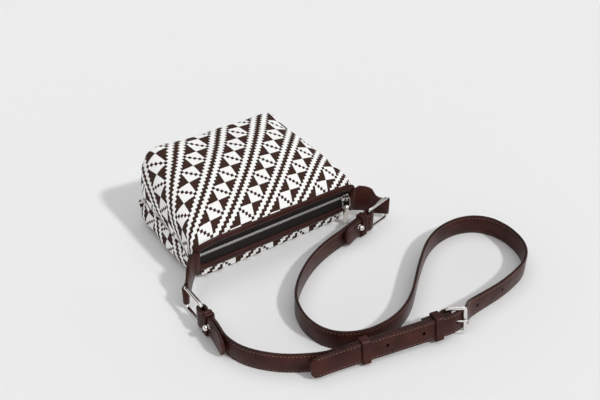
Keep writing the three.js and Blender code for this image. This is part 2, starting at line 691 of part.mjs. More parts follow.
// Middle line of a strap end: the flap, round the ring and back along the strap
const turn = strapLoopRadius + strapThickness / 2;
function strapEnd(end) {
  const step = layerStep / 2;
  const path = [[end.flap, step + end.splay, 0.6], [end.flap - 2.5, step + end.splay * 0.92, 0.9],
    [end.flap - 8, step + end.splay * 0.62, 1], [studDistance + 4, step + 0.1, 1],
    [studDistance - 4, step, 1], [10.5, step, 1], [6.4, turn * 0.6, 1], [2.4, turn * 0.96, 1],
    [-turn * 0.71, turn * 0.71, 1], [-turn, 0, 1], [-turn * 0.71, -turn * 0.71, 1],
    [2.4, -turn * 0.96, 1], [6.4, -turn * 0.6, 1], [10.5, -step, 1],
    [studDistance - 4, -step, 1], [studDistance + 4, -step, 1]];
  return path.map(([s, n, share]) => {
    const p = end.place(s, n);
    const drop = s > studDistance ? Math.min(1, (s - studDistance) / 30) : 0;
    return station(p.x, p.y, mix(ringZ, halfWidth + floorGap, drop), 0, share);
  });
}

// Doubled stretch: X from the free tip to the buckle, Y away from the free end, Z up across the strap. Its
// origin is at the heel bar.
const doubled = new THREE.Group();
const doubledAngle = rad(-12.6);
const doubledRise = buckleWire + buckleClearance;
const leanRise = 1.4;           // the leaning strap's lower edge stands on its corner
doubled.position.set(buckleX, buckleY, doubledRise + floorGap + leanRise);
doubled.rotation.set(-rad(strapLean), -Math.asin(doubledRise / doubledLength), doubledAngle, 'ZYX');
bag.add(doubled);
doubled.updateMatrix();
function inDoubled(x, y, share = 1, lean = strapLean) {
  const p = V(x, y, halfWidth).applyMatrix4(doubled.matrix);
  return station(p.x, p.y, p.z, lean, share);
}

const heelY = strapThickness / 2 + buckleWire / 2 + stackGap;
const toeY = -strapThickness + 0.2;
const freeY = -layerStep;
const foldTurn = buckleWire / 2 + stackGap + strapThickness / 2;
const foldEnd = 27;

// Long strap: from the right ring round the loop on the surface, through the buckle to its free tip
const longStations = [
  ...strapEnd(ends.right),
  standing(60, -105.5), standing(43, -109.5), standing(25, -115.5), standing(5, -125),
  standing(-13, -137), standing(-27, -149), standing(-39, -163), standing(-46, -178),
  standing(-49.5, -196), standing(-47, -215), standing(-39, -229), standing(-27, -238.5),
  standing(-12, -244.5), standing(5, -246.5), standing(24, -244.5), standing(42, -238.5),
  standing(59, -228.5), standing(75, -215.5), standing(90, -202.5), standing(105, -190.5),
  standing(121, -178.5), standing(138, -169), standing(156, -163), standing(176, -161.5),
  standing(192, -164.5), standing(205, -171.5), standing(215, -183.5), standing(219.5, -200),
  standing(219, -217), standing(214.5, -233), standing(205, -247), standing(190, -257.5),
  standing(169, -264), standing(146, -268), standing(122, -269.7, -1),
  station(107, -271, halfWidth + 1, -3), station(96, -273.4, halfWidth + 2.6, -6),
  inDoubled(buckleLength + 4, 2.4, 1, -strapLean), inDoubled(buckleLength, 1.2, 1, -strapLean),
  inDoubled(10, -1.4, 1, -strapLean), inDoubled(3, freeY + 0.3, 1, -strapLean),
  inDoubled(-4, freeY, 1, -strapLean), inDoubled(-20, freeY, 1, -strapLean),
  inDoubled(-60, freeY, 1, -strapLean), inDoubled(-122, freeY, 1, -strapLean),
  inDoubled(-doubledLength + 8, freeY - 1, 1, -strapLean),
  inDoubled(-doubledLength + 3, freeY - 1.3, 0.9, -strapLean),
  inDoubled(-doubledLength, freeY - 1.5, 0.55, -strapLean),
];
const longSamples = strapLine(longStations);

// Point and frame at a distance from the free tip of the long strap
function fromTip(distance) {
  let left = distance;
  for (let i = longSamples.length - 1; i > 0; i -= 1) {
    const step = longSamples[i].p.distanceTo(longSamples[i - 1].p);
    if (left <= step) {
      const t = left / step;
      return {
        p: longSamples[i].p.clone().lerp(longSamples[i - 1].p, t),
        a: longSamples[i].a.clone().lerp(longSamples[i - 1].a, t).normalize(),
        b: longSamples[i].b.clone().lerp(longSamples[i - 1].b, t).normalize(),
      };
    }
    left -= step;
  }
  return longSamples[0];
}

function punch(frame, diameter, length, sides) {
  const along = frame.a.clone().cross(frame.b).normalize();
  const outline = new THREE.Shape();
  const r = diameter / 2;
  const flat = (length - diameter) / 2;
  outline.absarc(flat, 0, r, -Math.PI / 2, Math.PI / 2, false);
  outline.absarc(-flat, 0, r, Math.PI / 2, 1.5 * Math.PI, false);
  const depth = strapThickness * 2.4;
  const tool = new THREE.ExtrudeGeometry(outline, { depth, bevelEnabled: false, curveSegments: sides / 2 });
  tool.translate(0, 0, -depth / 2);
  tool.applyMatrix4(new THREE.Matrix4().makeBasis(along, frame.b, along.clone().cross(frame.b)));
  tool.translate(frame.p.x, frame.p.y, frame.p.z);
  return tool;
}

function studHole(end) {
  const bore = new THREE.CylinderGeometry(studPost / 2 + 0.3, studPost / 2 + 0.3, layerStep * 3, 10);
  bore.applyQuaternion(new THREE.Quaternion().setFromUnitVectors(V(0, 1, 0), end.side));
  const p = end.place(studDistance, 0);
  bore.translate(p.x, p.y, ringZ + studRaise);
  return bore;
}

const prongTip = doubledLength + prongHole;
const punches = [];
for (let i = 0; i < holeCount; i += 1) {
  const fromProng = i - 2;
  const long = fromProng === 0 ? prongSlot : holeDiameter;
  punches.push(punch(fromTip(prongTip + fromProng * holeSpacing), holeDiameter, long, 8));
}
addLeather(bag, 'long_strap', cut(sweep(longSamples, strapSection, false), ...punches, studHole(ends.right)));

// Short strap: from the left ring to the fold round the heel bar
const shortStations = [
  ...strapEnd(ends.left),
  standing(-128, -166), standing(-128.2, -177), standing(-123.4, -194.5), standing(-113, -210.5),
  standing(-97.5, -226), standing(-81, -237), standing(-62, -246.8, 3),
  inDoubled(-104, 0), inDoubled(-90, 0), inDoubled(-45, 0), inDoubled(-14, 0),
  inDoubled(-4, heelY - foldTurn),
  ...[-60, -20, 20, 60].map((a) => inDoubled(foldTurn * Math.cos(rad(a)), heelY + foldTurn * Math.sin(rad(a)),
    1, -strapLean * Math.sin(rad(a)))),
  inDoubled(-3, heelY + foldTurn - 0.5, 1, -strapLean), inDoubled(-6.8, layerStep + 0.8, 1, -strapLean),
  inDoubled(-10, layerStep, 1, -strapLean), inDoubled(-18, layerStep, 1, -strapLean),
  inDoubled(-foldEnd, layerStep, 0.97, -strapLean),
];
const prongGap = prongDiameter / 2 + 0.6;
const prongWindow = box(-5.6, foldTurn + 4, -4, 14, halfWidth - prongGap, halfWidth + prongGap);
prongWindow.applyMatrix4(doubled.matrix);
addLeather(bag, 'short_strap',
  cut(sweep(strapLine(shortStations), strapSection, false), studHole(ends.left), prongWindow));

// Buckle: a wire frame that turns on its heel bar, and a prong whose eye goes round that bar
const frameTilt = Math.atan2(toeY - heelY, buckleLength);
const buckle = new THREE.Group();
buckle.position.set(0, heelY, halfWidth);
buckle.rotation.z = frameTilt;
doubled.add(buckle);
const frameLength = buckleLength / Math.cos(frameTilt);
const frameHeight = strapWidth + 2 * buckleClearance + buckleWire;
const frameLoop = wireLoop(frameLength, frameHeight, buckleCorner, buckleWire, 8);
frameLoop.translate(frameLength / 2, 0, 0);
addMetal(buckle, 'buckle_frame', frameLoop);

const eye = buckleWire / 2 + prongClearance + prongDiameter / 2;
const prongRest = -buckleWire / 2 - prongDiameter / 2 - 0.3;
const prongPath = [
  ...[215, 180, 135, 90, 45, 10].map((a) => [eye * Math.cos(rad(a)), eye * Math.sin(rad(a))]),
  [frameLength * 0.24, eye * 0.2], [frameLength * 0.6, prongRest * 0.55],
  [frameLength * 0.93, prongRest], [frameLength * 1.05, prongRest], [frameLength * 1.14, prongRest + 0.5],
];
const prongCurve = new THREE.CatmullRomCurve3(prongPath.map(([x, y]) => V(x, y, 0)));
const prongStations = Array.from({ length: 29 }, (_, i) => {
  const along = prongCurve.getTangent(i / 28);
  return { p: prongCurve.getPoint(i / 28), a: V(-along.y, along.x, 0), b: V(0, 0, 1) };
});
addMetal(buckle, 'buckle_prong', sweep(prongStations, roundSection(prongDiameter, 6), false));

// Keepers: leather bands round the stacked straps
function bandRound(x0, width, y0, y1, z0, z1) {
  const c = keeperClearance;
  const w = keeperWall;
  const corner = 1.2;
  const [a, b, d, e] = [y0 - c - w, y1 + c + w, z0 - c - w, z1 + c + w];
  const corners = [[a + corner, d], [b - corner, d], [b, d + corner], [b, e - corner],
    [b - corner, e], [a + corner, e], [a, e - corner], [a, d + corner]];
  const inside = [[y0 - c, z0 - c], [y0 - c, z1 + c], [y1 + c, z1 + c], [y1 + c, z0 - c]];
  const outline = new THREE.Shape(corners.map(([y, z]) => new THREE.Vector2(y, z)));
  outline.holes.push(new THREE.Path(inside.map(([y, z]) => new THREE.Vector2(y, z))));
  const g = new THREE.ExtrudeGeometry(outline, { depth: width, bevelEnabled: false });
  g.applyMatrix4(new THREE.Matrix4().makeBasis(V(0, 1, 0), V(0, 0, 1), V(1, 0, 0)));
  g.translate(x0, 0, 0);
  return g;
}
const halfThick = strapThickness / 2;
addLeather(doubled, 'fixed_keeper',
  bandRound(fixedKeeperX, keeperWidth, freeY - halfThick, layerStep + halfThick, 0, strapWidth));
addLeather(doubled, 'sliding_keeper',
  bandRound(slidingKeeperX, keeperWidth, freeY - halfThick, halfThick, 0, strapWidth));

function endKeeper(name, end) {
  const group = new THREE.Group();
  group.position.copy(end.strapBar).setZ(ringZ);
  group.rotation.z = end.strapAngle;
  bag.add(group);
  const reach = layerStep / 2 + halfThick;
  addLeather(group, name, bandRound(endKeeperStart, keeperWidth, -reach, reach, -halfWidth, halfWidth));
}
endKeeper('left_end_keeper', ends.left);
endKeeper('right_end_keeper', ends.right);

// Button studs: a ball on a post through both layers, held by a flat-headed screw behind
function stud(name, end) {
  const reach = layerStep / 2 + halfThick;
  const r = studHead / 2;
  const neck = studPost / 2;
  const face = reach + 0.4;
  const profile = [[0, -reach + 0.3], [neck, -reach + 0.3], [neck, face], [r * 0.8, face],
    [r * 0.8, face + 0.8], [neck, face + 1.2]];
  for (let i = 0; i <= 6; i += 1) {
    const a = mix(-0.29 * Math.PI, Math.PI / 2, i / 6);
    profile.push([i === 6 ? 0 : r * Math.cos(a), face + 1.2 + r * 0.8 + r * Math.sin(a)]);
  }
  const body = new THREE.LatheGeometry(profile.map(([x, y]) => new THREE.Vector2(x, y)), 12);
  const screw = new THREE.LatheGeometry([[0, -reach - 1.6], [r * 0.7, -reach - 1.6], [r * 0.95, -reach - 0.9],
    [r * 0.95, -reach - 0.4], [0, -reach - 0.4]].map(([x, y]) => new THREE.Vector2(x, y)), 12);
  const group = new THREE.Group();
  group.position.copy(end.place(studDistance, 0)).setZ(ringZ + studRaise);
  group.quaternion.setFromUnitVectors(V(0, 1, 0), end.side);
  bag.add(group);
  addMetal(group, `${name}_stud`, body);
  addMetal(group, `${name}_stud_screw`, screw);
}
stud('left', ends.left);
stud('right', ends.right);

export default bag;
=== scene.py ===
# %% [markdown]
# # A small woven crossbody bag with a leather strap
# The bag is made of patterned woven cloth with dark leather trim, a metal zip, wire rings and a
# buckled strap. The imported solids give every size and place. This lesson dresses them: pieces that
# are soft, bent or stitched are built again as finer meshes, and the others only get a finish.

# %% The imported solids
from bisect import bisect_left
from math import asin, atan2, ceil, copysign, cos, exp, pi, radians, sin, tan

import bmesh
import bpy
from mathutils import Matrix, Vector
from mathutils.noise import noise as soft_noise


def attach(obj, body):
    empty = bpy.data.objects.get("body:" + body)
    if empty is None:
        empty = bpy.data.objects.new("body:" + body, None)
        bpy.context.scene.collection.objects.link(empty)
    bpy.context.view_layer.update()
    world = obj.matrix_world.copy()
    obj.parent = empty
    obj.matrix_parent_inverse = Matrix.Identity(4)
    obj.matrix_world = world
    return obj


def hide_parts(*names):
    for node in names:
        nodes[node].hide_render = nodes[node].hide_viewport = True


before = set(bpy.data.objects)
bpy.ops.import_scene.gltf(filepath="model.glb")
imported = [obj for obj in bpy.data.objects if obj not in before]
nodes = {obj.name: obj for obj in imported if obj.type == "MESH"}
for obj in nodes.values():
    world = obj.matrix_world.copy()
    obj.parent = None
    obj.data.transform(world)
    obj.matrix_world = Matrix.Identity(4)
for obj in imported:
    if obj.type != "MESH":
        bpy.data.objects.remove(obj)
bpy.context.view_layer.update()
MM = 0.001

# %% [markdown]
# Materials are small node trees. They could be drawn by hand in the Shader Editor. Here a few
# helpers add one node each and return its output, so that a woven pattern can be written almost
# like a formula, which is easier to read.


# %% Helpers for node trees
class Nodes:
    """A node tree, with short ways to add the nodes used here."""

    def __init__(self, tree):
        self.tree = tree

    def put(self, node, inputs):
        """Sets a node's inputs, given as (name or number, value or output) pairs."""
        for key, value in inputs:
            if isinstance(value, bpy.types.NodeSocket):
                self.tree.links.new(value, node.inputs[key])
            else:
                node.inputs[key].default_value = value

    def add(self, kind, inputs=(), **settings):
        node = self.tree.nodes.new(kind)
        for name, value in settings.items():
            setattr(node, name, value)
        self.put(node, inputs)
        return node

    def calc(self, operation, first, second=0.0, third=0.0):
        values = enumerate((first, second, third))
        return self.add("ShaderNodeMath", values, operation=operation).outputs[0]

    def mix(self, factor, first, second):
        inputs = (0, factor), (6, first), (7, second)
        return self.add("ShaderNodeMix", inputs, data_type="RGBA").outputs[2]

    def noise(self, place, scale, detail=2.0):
        inputs = ("Vector", place), ("Scale", scale), ("Detail", detail)
        return self.add("ShaderNodeTexNoise", inputs).outputs["Fac"]

    def ramp(self, value, low, high):
        inputs = ("Value", value), ("From Min", low), ("From Max", high)
        return self.add("ShaderNodeMapRange", inputs).outputs["Result"]

    def bump(self, height, strength, distance):
        inputs = ("Height", height), ("Strength", strength), ("Distance", distance)
        return self.add("ShaderNodeBump", inputs).outputs["Normal"]

    def split(self, vector):
        return self.add("ShaderNodeSeparateXYZ", ((0, vector),)).outputs

    def object_place(self):
        return self.add("ShaderNodeTexCoord").outputs["Object"]


def new_material(name):
    material = bpy.data.materials.new(name)
    material.use_nodes = True
    return material, Nodes(material.node_tree)


def shade(tree, colour, roughness, gloss=0.5, **others):
    """Sets the shader; others are inputs of one word, such as Normal."""
    inputs = {"Base Color": colour, "Roughness": roughness, "Specular IOR Level": gloss, **others}
    tree.put(tree.tree.nodes["Principled BSDF"], inputs.items())


print("node helpers are ready")

# %% [markdown]
# The cloth is a flat geometric weave in white and very dark brown. It is counted in cells, as on a
# weaver's chart. Diagonal bands hold white squares corner to corner, each crossed by a row of dark
# dots, with dark triangles at the sides. Between the bands run a white, a dark and a white stripe
# with stepped edges. An image would do, but arithmetic on whole cells stays sharp at any distance.
# White threads lie along the bag and dark ones across it, so the fine ribs turn with the colour.
# The pattern follows the cloth, so it reads the cloth's own UV map, which is kept in cells.

# %% Woven cloth
SQUARE = 5  # cells along a square's side
PERIOD = 15  # cells from band to band
RIBS = 2  # threads in a cell
WHITE, WHITE_SHADE = (0.97, 0.965, 0.95, 1.0), (0.46, 0.44, 0.42, 1.0)
DARK, DARK_THREAD = (0.019, 0.0070, 0.0052, 1.0), (0.120, 0.062, 0.048, 1.0)
WANDER_SCALE, WANDER_ACROSS, WANDER_ALONG = 1.1, 0.22, -0.18
PILLOW_EDGE = 0.22
MATT, FAINT_GLOSS = 0.9, 0.12


def ribs_along(tree, coordinate):
    wave = tree.calc("SINE", tree.calc("MULTIPLY", coordinate, 2 * pi * RIBS))
    return tree.calc("MULTIPLY_ADD", wave, 0.5, 0.5)


def woven_cloth():
    material, tree = new_material("woven cloth")
    calc = tree.calc
    uv = tree.add("ShaderNodeUVMap").outputs["UV"]
    chart = tree.split(uv)
    # A hand weave is never even, so the threads wander a little
    wander = calc("SUBTRACT", tree.noise(uv, WANDER_SCALE), 0.5)
    u = calc("MULTIPLY_ADD", wander, WANDER_ACROSS, chart["X"])
    v = calc("MULTIPLY_ADD", wander, WANDER_ALONG, chart["Y"])
    column, row = calc("FLOOR", u), calc("FLOOR", v)
    # The columns are counted anew from the middle of each diagonal band
    lane = calc("ADD", calc("SUBTRACT", column, row), PERIOD / 2 + 0.01)
    band = calc("FLOOR", calc("DIVIDE", lane, PERIOD))
    column = calc("SUBTRACT", column, calc("MULTIPLY", band, PERIOD))
    column_in = calc("FLOORED_MODULO", column, SQUARE)
    row_in = calc("FLOORED_MODULO", row, SQUARE)
    block_column, block_row = calc("SUBTRACT", column, column_in), calc("SUBTRACT", row, row_in)
    on_diagonal = calc("COMPARE", block_column, block_row, 0.5)
    dotted = calc("COMPARE", calc("ADD", column_in, row_in), SQUARE - 1, 0.5)
    square = calc("MULTIPLY", on_diagonal, calc("SUBTRACT", 1.0, dotted))
    offset = calc("ABSOLUTE", calc("SUBTRACT", column, row))
    stripe = calc("COMPARE", offset, SQUARE + 0.5, 0.9)
    light = calc("MAXIMUM", square, stripe)
    along, across = ribs_along(tree, u), ribs_along(tree, v)
    grain = tree.noise(uv, 4.0, 3.0)
    shadow = calc("MULTIPLY", along, calc("MULTIPLY", grain, 0.75))
    pale = tree.mix(shadow, WHITE, WHITE_SHADE)
    deep = tree.mix(calc("MULTIPLY", across, grain), DARK, DARK_THREAD)
    pillow = [tree.ramp(calc("PINGPONG", w, 0.5), 0.0, PILLOW_EDGE) for w in (u, v)]
    dark_ribs = calc("MULTIPLY", across, calc("SUBTRACT", 1.0, light))
    ribs = calc("ADD", calc("MULTIPLY", along, light), dark_ribs)
    height = calc("MULTIPLY_ADD", calc("MULTIPLY", *pillow), 0.5, calc("MULTIPLY", ribs, 0.45))
    height = calc("MULTIPLY_ADD", light, 0.5, height)
    colour, normal = tree.mix(light, deep, pale), tree.bump(height, 0.55, 0.0005)
    shade(tree, colour, MATT, FAINT_GLOSS, Normal=normal)
    return material


cloth = woven_cloth()
print("the weave repeats every", PERIOD, "cells")

# %% [markdown]
# The leather is smooth and dark brown with a satin finish: a slow change of tone, a fine grain with
# soft creases in the bump, and a darker, glossier edge where it is cut and painted. Noise in object
# coordinates needs no unwrapping, and it stays with each piece when a joint moves it.
# The metal is polished nickel, with a duller pull and teeth, and the tape is a plain black weave.
# The pull's pale cream tone is a painted reflection, and the back row of teeth has a darker copy
# of the teeth's metal as painted shade.

# %% Leather, metal, tape and thread
TAPE_RIB = 0.0011
TAPE_DARK, TAPE_LIGHT = (0.010, 0.008, 0.008, 1), (0.030, 0.025, 0.024, 1)


def leather_finish(name, tone, deeper, roughness, gloss=0.14):
    material, tree = new_material(name)
    place = tree.object_place()
    cloudy = tree.ramp(tree.noise(place, 60.0, 3.0), 0.35, 0.7)
    worn = tree.calc("MULTIPLY_ADD", tree.noise(place, 110.0, 3.0), 0.18, roughness - 0.09)
    pores, creases = tree.noise(place, 900.0, 4.0), tree.noise(place, 160.0, 2.0)
    height = tree.calc("MULTIPLY_ADD", creases, 0.6, pores)
    normal = tree.bump(height, 0.22, 0.0004)
    shade(tree, tree.mix(cloudy, tone, deeper), worn, gloss, Normal=normal)
    return material


def metal_finish(name, colour, roughness, metallic=1.0):
    material, tree = new_material(name)
    cloudy = tree.ramp(tree.noise(tree.object_place(), 300.0, 2.0), 0.3, 0.8)
    dull = tuple(c * 0.82 for c in colour[:3]) + (1,)
    shade(tree, tree.mix(cloudy, colour, dull), roughness, Metallic=metallic)
    return material


def tape_cloth():
    material, tree = new_material("zip tape")
    x = tree.split(tree.object_place())["X"]
    ribs = tree.calc("SINE", tree.calc("MULTIPLY", x, 2 * pi / TAPE_RIB))
    tone = tree.ramp(ribs, -1.0, 1.0)
    normal = tree.bump(tone, 0.4, 0.0003)
    shade(tree, tree.mix(tone, TAPE_DARK, TAPE_LIGHT), MATT, FAINT_GLOSS, Normal=normal)
    return material


def cloudy_finish(name, scale, dark, light, roughness, gloss=0.5):
    material, tree = new_material(name)
    shade(tree, tree.mix(tree.noise(tree.object_place(), scale), dark, light), roughness, gloss)
    return material


leather, leather_edge, trim_leather = (leather_finish(*values) for values in (
    ("dark leather", (0.056, 0.016, 0.012, 1), (0.027, 0.008, 0.006, 1), 0.32),
    ("leather edge", (0.030, 0.010, 0.008, 1), (0.014, 0.006, 0.005, 1), 0.3, 0.3),
    ("trim leather", (0.047, 0.013, 0.010, 1), (0.025, 0.008, 0.006, 1), 0.32)))
nickel = metal_finish("polished nickel", (0.84, 0.82, 0.80, 1), 0.07)
# The pull's pale cream colour is a painted reflection on satin nickel.
pull_metal_painted_reflection = metal_finish("satin nickel with painted reflection", (0.93, 0.88, 0.82, 1), 0.4, 0.35)
teeth_metal = metal_finish("bright teeth", (0.85, 0.84, 0.84, 1), 0.3, 0.3)
# The back row of teeth gets a darker copy of the same metal: painted shade.
shaded_teeth_metal = metal_finish("painted shade teeth", (0.62, 0.61, 0.61, 1), 0.3, 0.3)
tape = tape_cloth()
thread = cloudy_finish("stitching thread", 700.0, (0.16, 0.11, 0.09, 1), (0.3, 0.22, 0.18, 1), 0.75)
print("materials:", ", ".join(m.name for m in bpy.data.materials))

# %% [markdown]
# Most pieces here are long or wide, and thin: straps, bindings, wires, panels. A bevelled curve
# could make some of them. A grid primitive, whose vertices are moved to their places along a path
# or over the cloth's shape, makes all of them in one way, with a UV map that runs along them.

# %% A grid that is laid along a shape
WELD_GAP = 0.00001


def only(piece):
    bpy.ops.object.select_all(action="DESELECT")
    piece.select_set(True)
    bpy.context.view_layer.objects.active = piece


def laid_grid(name, place, flat=None):
    """Adds a grid and moves each vertex to place[row][column], in mm. flat gives its UV alike."""
    rows, columns = len(place) - 1, len(place[0]) - 1
    bpy.ops.mesh.primitive_grid_add(x_subdivisions=columns, y_subdivisions=rows, size=2)
    piece = bpy.context.object
    piece.name = name
    mesh = piece.data
    places = [((v.co.y + 1) / 2 * rows, (v.co.x + 1) / 2 * columns) for v in mesh.vertices]
    where = [(round(row), round(column)) for row, column in places]
    for vertex, (row, column) in zip(mesh.vertices, where):
        vertex.co = place[row][column] * MM
    if flat is not None:
        for loop in mesh.loops:
            row, column = where[loop.vertex_index]
            mesh.uv_layers[0].data[loop.index].uv = flat[row][column]
    return piece


def outward(piece, cap=False):
    """Joins the edges that meet, closes open ends if asked to, and turns all faces outward."""
    only(piece)
    bpy.ops.object.mode_set(mode="EDIT")
    bpy.ops.mesh.select_all(action="SELECT")
    bpy.ops.mesh.remove_doubles(threshold=WELD_GAP)
    if cap:
        bpy.ops.mesh.select_all(action="DESELECT")
        bpy.ops.mesh.select_non_manifold(extend=False)
        bpy.ops.mesh.fill_holes(sides=0)
        bpy.ops.mesh.select_all(action="SELECT")
    bpy.ops.mesh.normals_make_consistent(inside=False)
    bpy.ops.object.mode_set(mode="OBJECT")


def apply_modifier(piece, kind, **settings):
    only(piece)
    modifier = piece.modifiers.new(kind.title(), kind)
    for key, value in settings.items():
        setattr(modifier, key, value)
    bpy.ops.object.modifier_apply(modifier=modifier.name)


def smooth(piece, degrees):
    only(piece)
    bpy.ops.object.shade_smooth_by_angle(angle=radians(degrees))


def dress(piece, body, slot, *replaced):
    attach(piece, body)
    if replaced:
        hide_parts(*replaced)
    print(piece.name, len(piece.data.polygons), "faces on", body)


def swept(name, stations, section, material, closed=False):
    """A bar of one section along stations of (point, thick direction, wide direction, share)."""
    loop = stations + (stations[:1] if closed else [])
    around = section + section[:1]
    place, flat, walked = [], [], 0.0
    for k, (point, thick, wide, share) in enumerate(loop):
        walked += (point - loop[k - 1][0]).length if k else 0
        place.append([point + thick * t + wide * (w * share) for t, w in around])
        flat.append([(walked, float(n)) for n in range(len(around))])
    piece = laid_grid(name, place, flat)
    outward(piece, cap=not closed)
    piece.data.materials.append(material)
    return piece


def colour_edges(piece):
    """Gives the cut edges, which face up and down on a standing strip, their darker finish."""
    piece.data.materials.append(leather_edge)
    for face in piece.data.polygons:
        if abs(face.normal.z) > 0.8:
            face.material_index = 1


def curve_through(points):
    """A smooth curve through points that doesn't overshoot: a centripetal Catmull-Rom spline."""
    full = [points[0] * 2 - points[1]] + points + [points[-1] * 2 - points[-2]]

    def blend(a, b, ka, kb, s):
        return (a * (kb - s) + b * (s - ka)) / (kb - ka)

    def at(t):
        i = min(int(t), len(points) - 2)
        p = full[i:i + 4]
        k = [0.0]
        for a, b in zip(p, p[1:]):
            k.append(k[-1] + max((b - a).length, 1e-6) ** 0.5)
        s = k[1] + (k[2] - k[1]) * (t - i)
        one = [blend(p[n], p[n + 1], k[n], k[n + 1], s) for n in range(3)]
        two = [blend(one[n], one[n + 1], k[n], k[n + 2], s) for n in range(2)]
        return blend(two[0], two[1], k[1], k[2], s)

    return at


def along_line(points):
    """The length of a fine line, and a function that gives its point at a distance."""
    length = [0.0]
    for a, b in zip(points, points[1:]):
        length.append(length[-1] + (b - a).length)

    def at(distance):
        k = min(max(0, bisect_left(length, distance) - 1), len(points) - 2)
        step = max(1e-9, length[k + 1] - length[k])
        return points[k].lerp(points[k + 1], (distance - length[k]) / step)

    return length[-1], at


def evenly(points, step):
    """Points at even steps along a fine line, each with its distance."""
    length, at = along_line(points)
    count = max(2, round(length / step))
    return [(at(length * n / count), length * n / count) for n in range(count + 1)]


print("grids are joined within", WELD_GAP, "m")

# %% [markdown]
# The two cloth panels carry the bag's shape. Each is one sheet that starts at the mouth, rises over
# the bag, and turns down at the sides and the base to a seam half way up. A cloth simulation could
# shape them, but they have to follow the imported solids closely, so a formula lays them: a
# cross-section is a flat oblong with round corners, drawn in at the seam, as a stuffed box is.

# %% Sizes of the bag body, in mm
LENGTH, MOUTH_WIDTH, MOUTH_BACK, MOUTH_FRONT, MOUTH_LEAN = 130, 212, 14, 54, 6
FRONT_BASE, BACK_BASE, BULGE, SHIFT, DEPTH = 182, 206, 5, -7, 96
SEAM, INSET, ROUNDING, CLOTH = 29, 6, 18, 2.0
FRONT_RISE, FRONT_FULL = MOUTH_FRONT - SEAM, DEPTH - SEAM
DROP, BACK_FULL = SEAM - MOUTH_BACK, SEAM + 0.6
MOUTH_Y = -LENGTH / 2
RIM_Y = LENGTH / 2 - ROUNDING
LEAN_ANGLE = atan2(MOUTH_LEAN, MOUTH_FRONT - MOUTH_BACK)
SECTION_STEPS = 240
MOUTH_POWER, BODY_POWER = 0.32, 0.4
DRAWN_REACH, DRAWN_SOFT = 9, 12
CLOSE_IN = 0.03


def mix(a, b, t):
    return a + (b - a) * t


def soft_step(t):
    return t * t * (3 - 2 * t)


def mouth_plane(z):
    return MOUTH_Y - (z - MOUTH_BACK) * tan(LEAN_ANGLE)


def section(y, height, along, close, front, fractions):
    """Points across a panel at the given fractions of its length, and that length."""
    squeeze = 1 - CLOSE_IN * close
    seam_half = mix(MOUTH_WIDTH / 2, (FRONT_BASE + BACK_BASE) / 4, along) * squeeze
    if front:
        far = mix(MOUTH_WIDTH / 2 - 2, FRONT_BASE / 2, along) * squeeze
    else:
        swell = BULGE * sin(pi * min(1, along * 1.2))
        far = (mix(MOUTH_WIDTH / 2 - 3, BACK_BASE / 2, along) + swell) * squeeze
    inset = INSET * soft_step(min(1, along * 3)) * height / (height + DRAWN_SOFT)
    full = max(height, 0.01)
    power = mix(MOUTH_POWER, BODY_POWER, soft_step(min(1, along * 2)))
    tilt = max(0, 1 - along * 4) ** 2
    fine = []
    for i in range(SECTION_STEPS + 1):
        a = mix(-pi / 2, pi / 2, i / SECTION_STEPS)
        rise = 0 if i in (0, SECTION_STEPS) else height * abs(cos(a)) ** power
        out = copysign(abs(sin(a)) ** power, a)
        drawn = inset * exp(-((rise / DRAWN_REACH) ** 2))
        half = mix(seam_half, far, min(1, rise / full)) - drawn
        if front:
            z = SEAM + rise
            edge = mouth_plane(z) - mouth_plane(SEAM + full)
        else:
            z = max(0, SEAM - rise)
            edge = mouth_plane(max(z, MOUTH_BACK)) - MOUTH_Y
        fine.append(Vector((out * half + SHIFT * along, y + edge * tilt, z)))
    length, at = along_line(fine)
    return [at(length * f) for f in fractions], length


def middle_line(pairs):
    return curve_through([Vector((y, height, 0)) for y, height in pairs])


front_line = middle_line([(mouth_plane(MOUTH_FRONT), FRONT_RISE)] + [
    (mix(MOUTH_Y, RIM_Y, along), mix(FRONT_RISE, FRONT_FULL, share))
    for along, share in ((0.08, 0.33), (0.3, 0.58), (0.62, 0.86), (1, 1))])
back_line = middle_line([
    (MOUTH_Y, DROP), (MOUTH_Y - 0.3, mix(DROP, SEAM, 0.45)), (MOUTH_Y + 0.3, mix(DROP, SEAM, 0.86)),
    (MOUTH_Y + 3, SEAM), (MOUTH_Y + 10, BACK_FULL), (RIM_Y, BACK_FULL)])
print("the front rises", FRONT_FULL, "mm over its seam")

# %% [markdown]
# The weave is laid by distance along the cloth, because a projection from above would stretch it
# down the sides. The sewn front is a little skewed, and a quadratic in the two distances follows
# that. Small lifts along the normals raise the stripes and let the cloth pucker, and a Solidify
# modifier gives it its thickness.

# %% Cloth panels
CLOTH_STEP, LINE_STEPS, TURN_STEPS, TURN_POWER = 2.3, 400, 200, 0.42
SEAM_GAP = 0.2
CELL_ACROSS, CELL_ALONG = 3.27, 3.45
STRIPE_LIFT, PUCKER, PUCKER_SCALE, FLAT_BELOW = -0.3, 0.8, 38, 0.003
# The stiff base keeps two outer corners sharper: (corner, pull, reach)
PULLED = (((-82, 62, 88), (-1, 3, 6), 24), ((77, 63, 84), (3, 3, 5), 22))


def chart_place(u, v, front):
    """Column and row of the weaver's chart at a place on a panel, in mm."""
    if not front:
        return 24 + u / CELL_ACROSS, v / CELL_ALONG - 5.4
    u, v = u / 100, v / 100
    return (23.955 - 9.848 * v + 5.979 * v * v + 30.646 * u - 1.26 * u * v + 0.998 * u * u,
            -5.388 + 29.291 * v - 1.564 * v * v + 0.992 * u + 0.198 * u * v + 1.621 * u * u)


def pull_corners(p):
    for corner, pull, reach in PULLED:
        p += Vector(pull) * exp(-(((p - Vector(corner)).length / reach) ** 2))


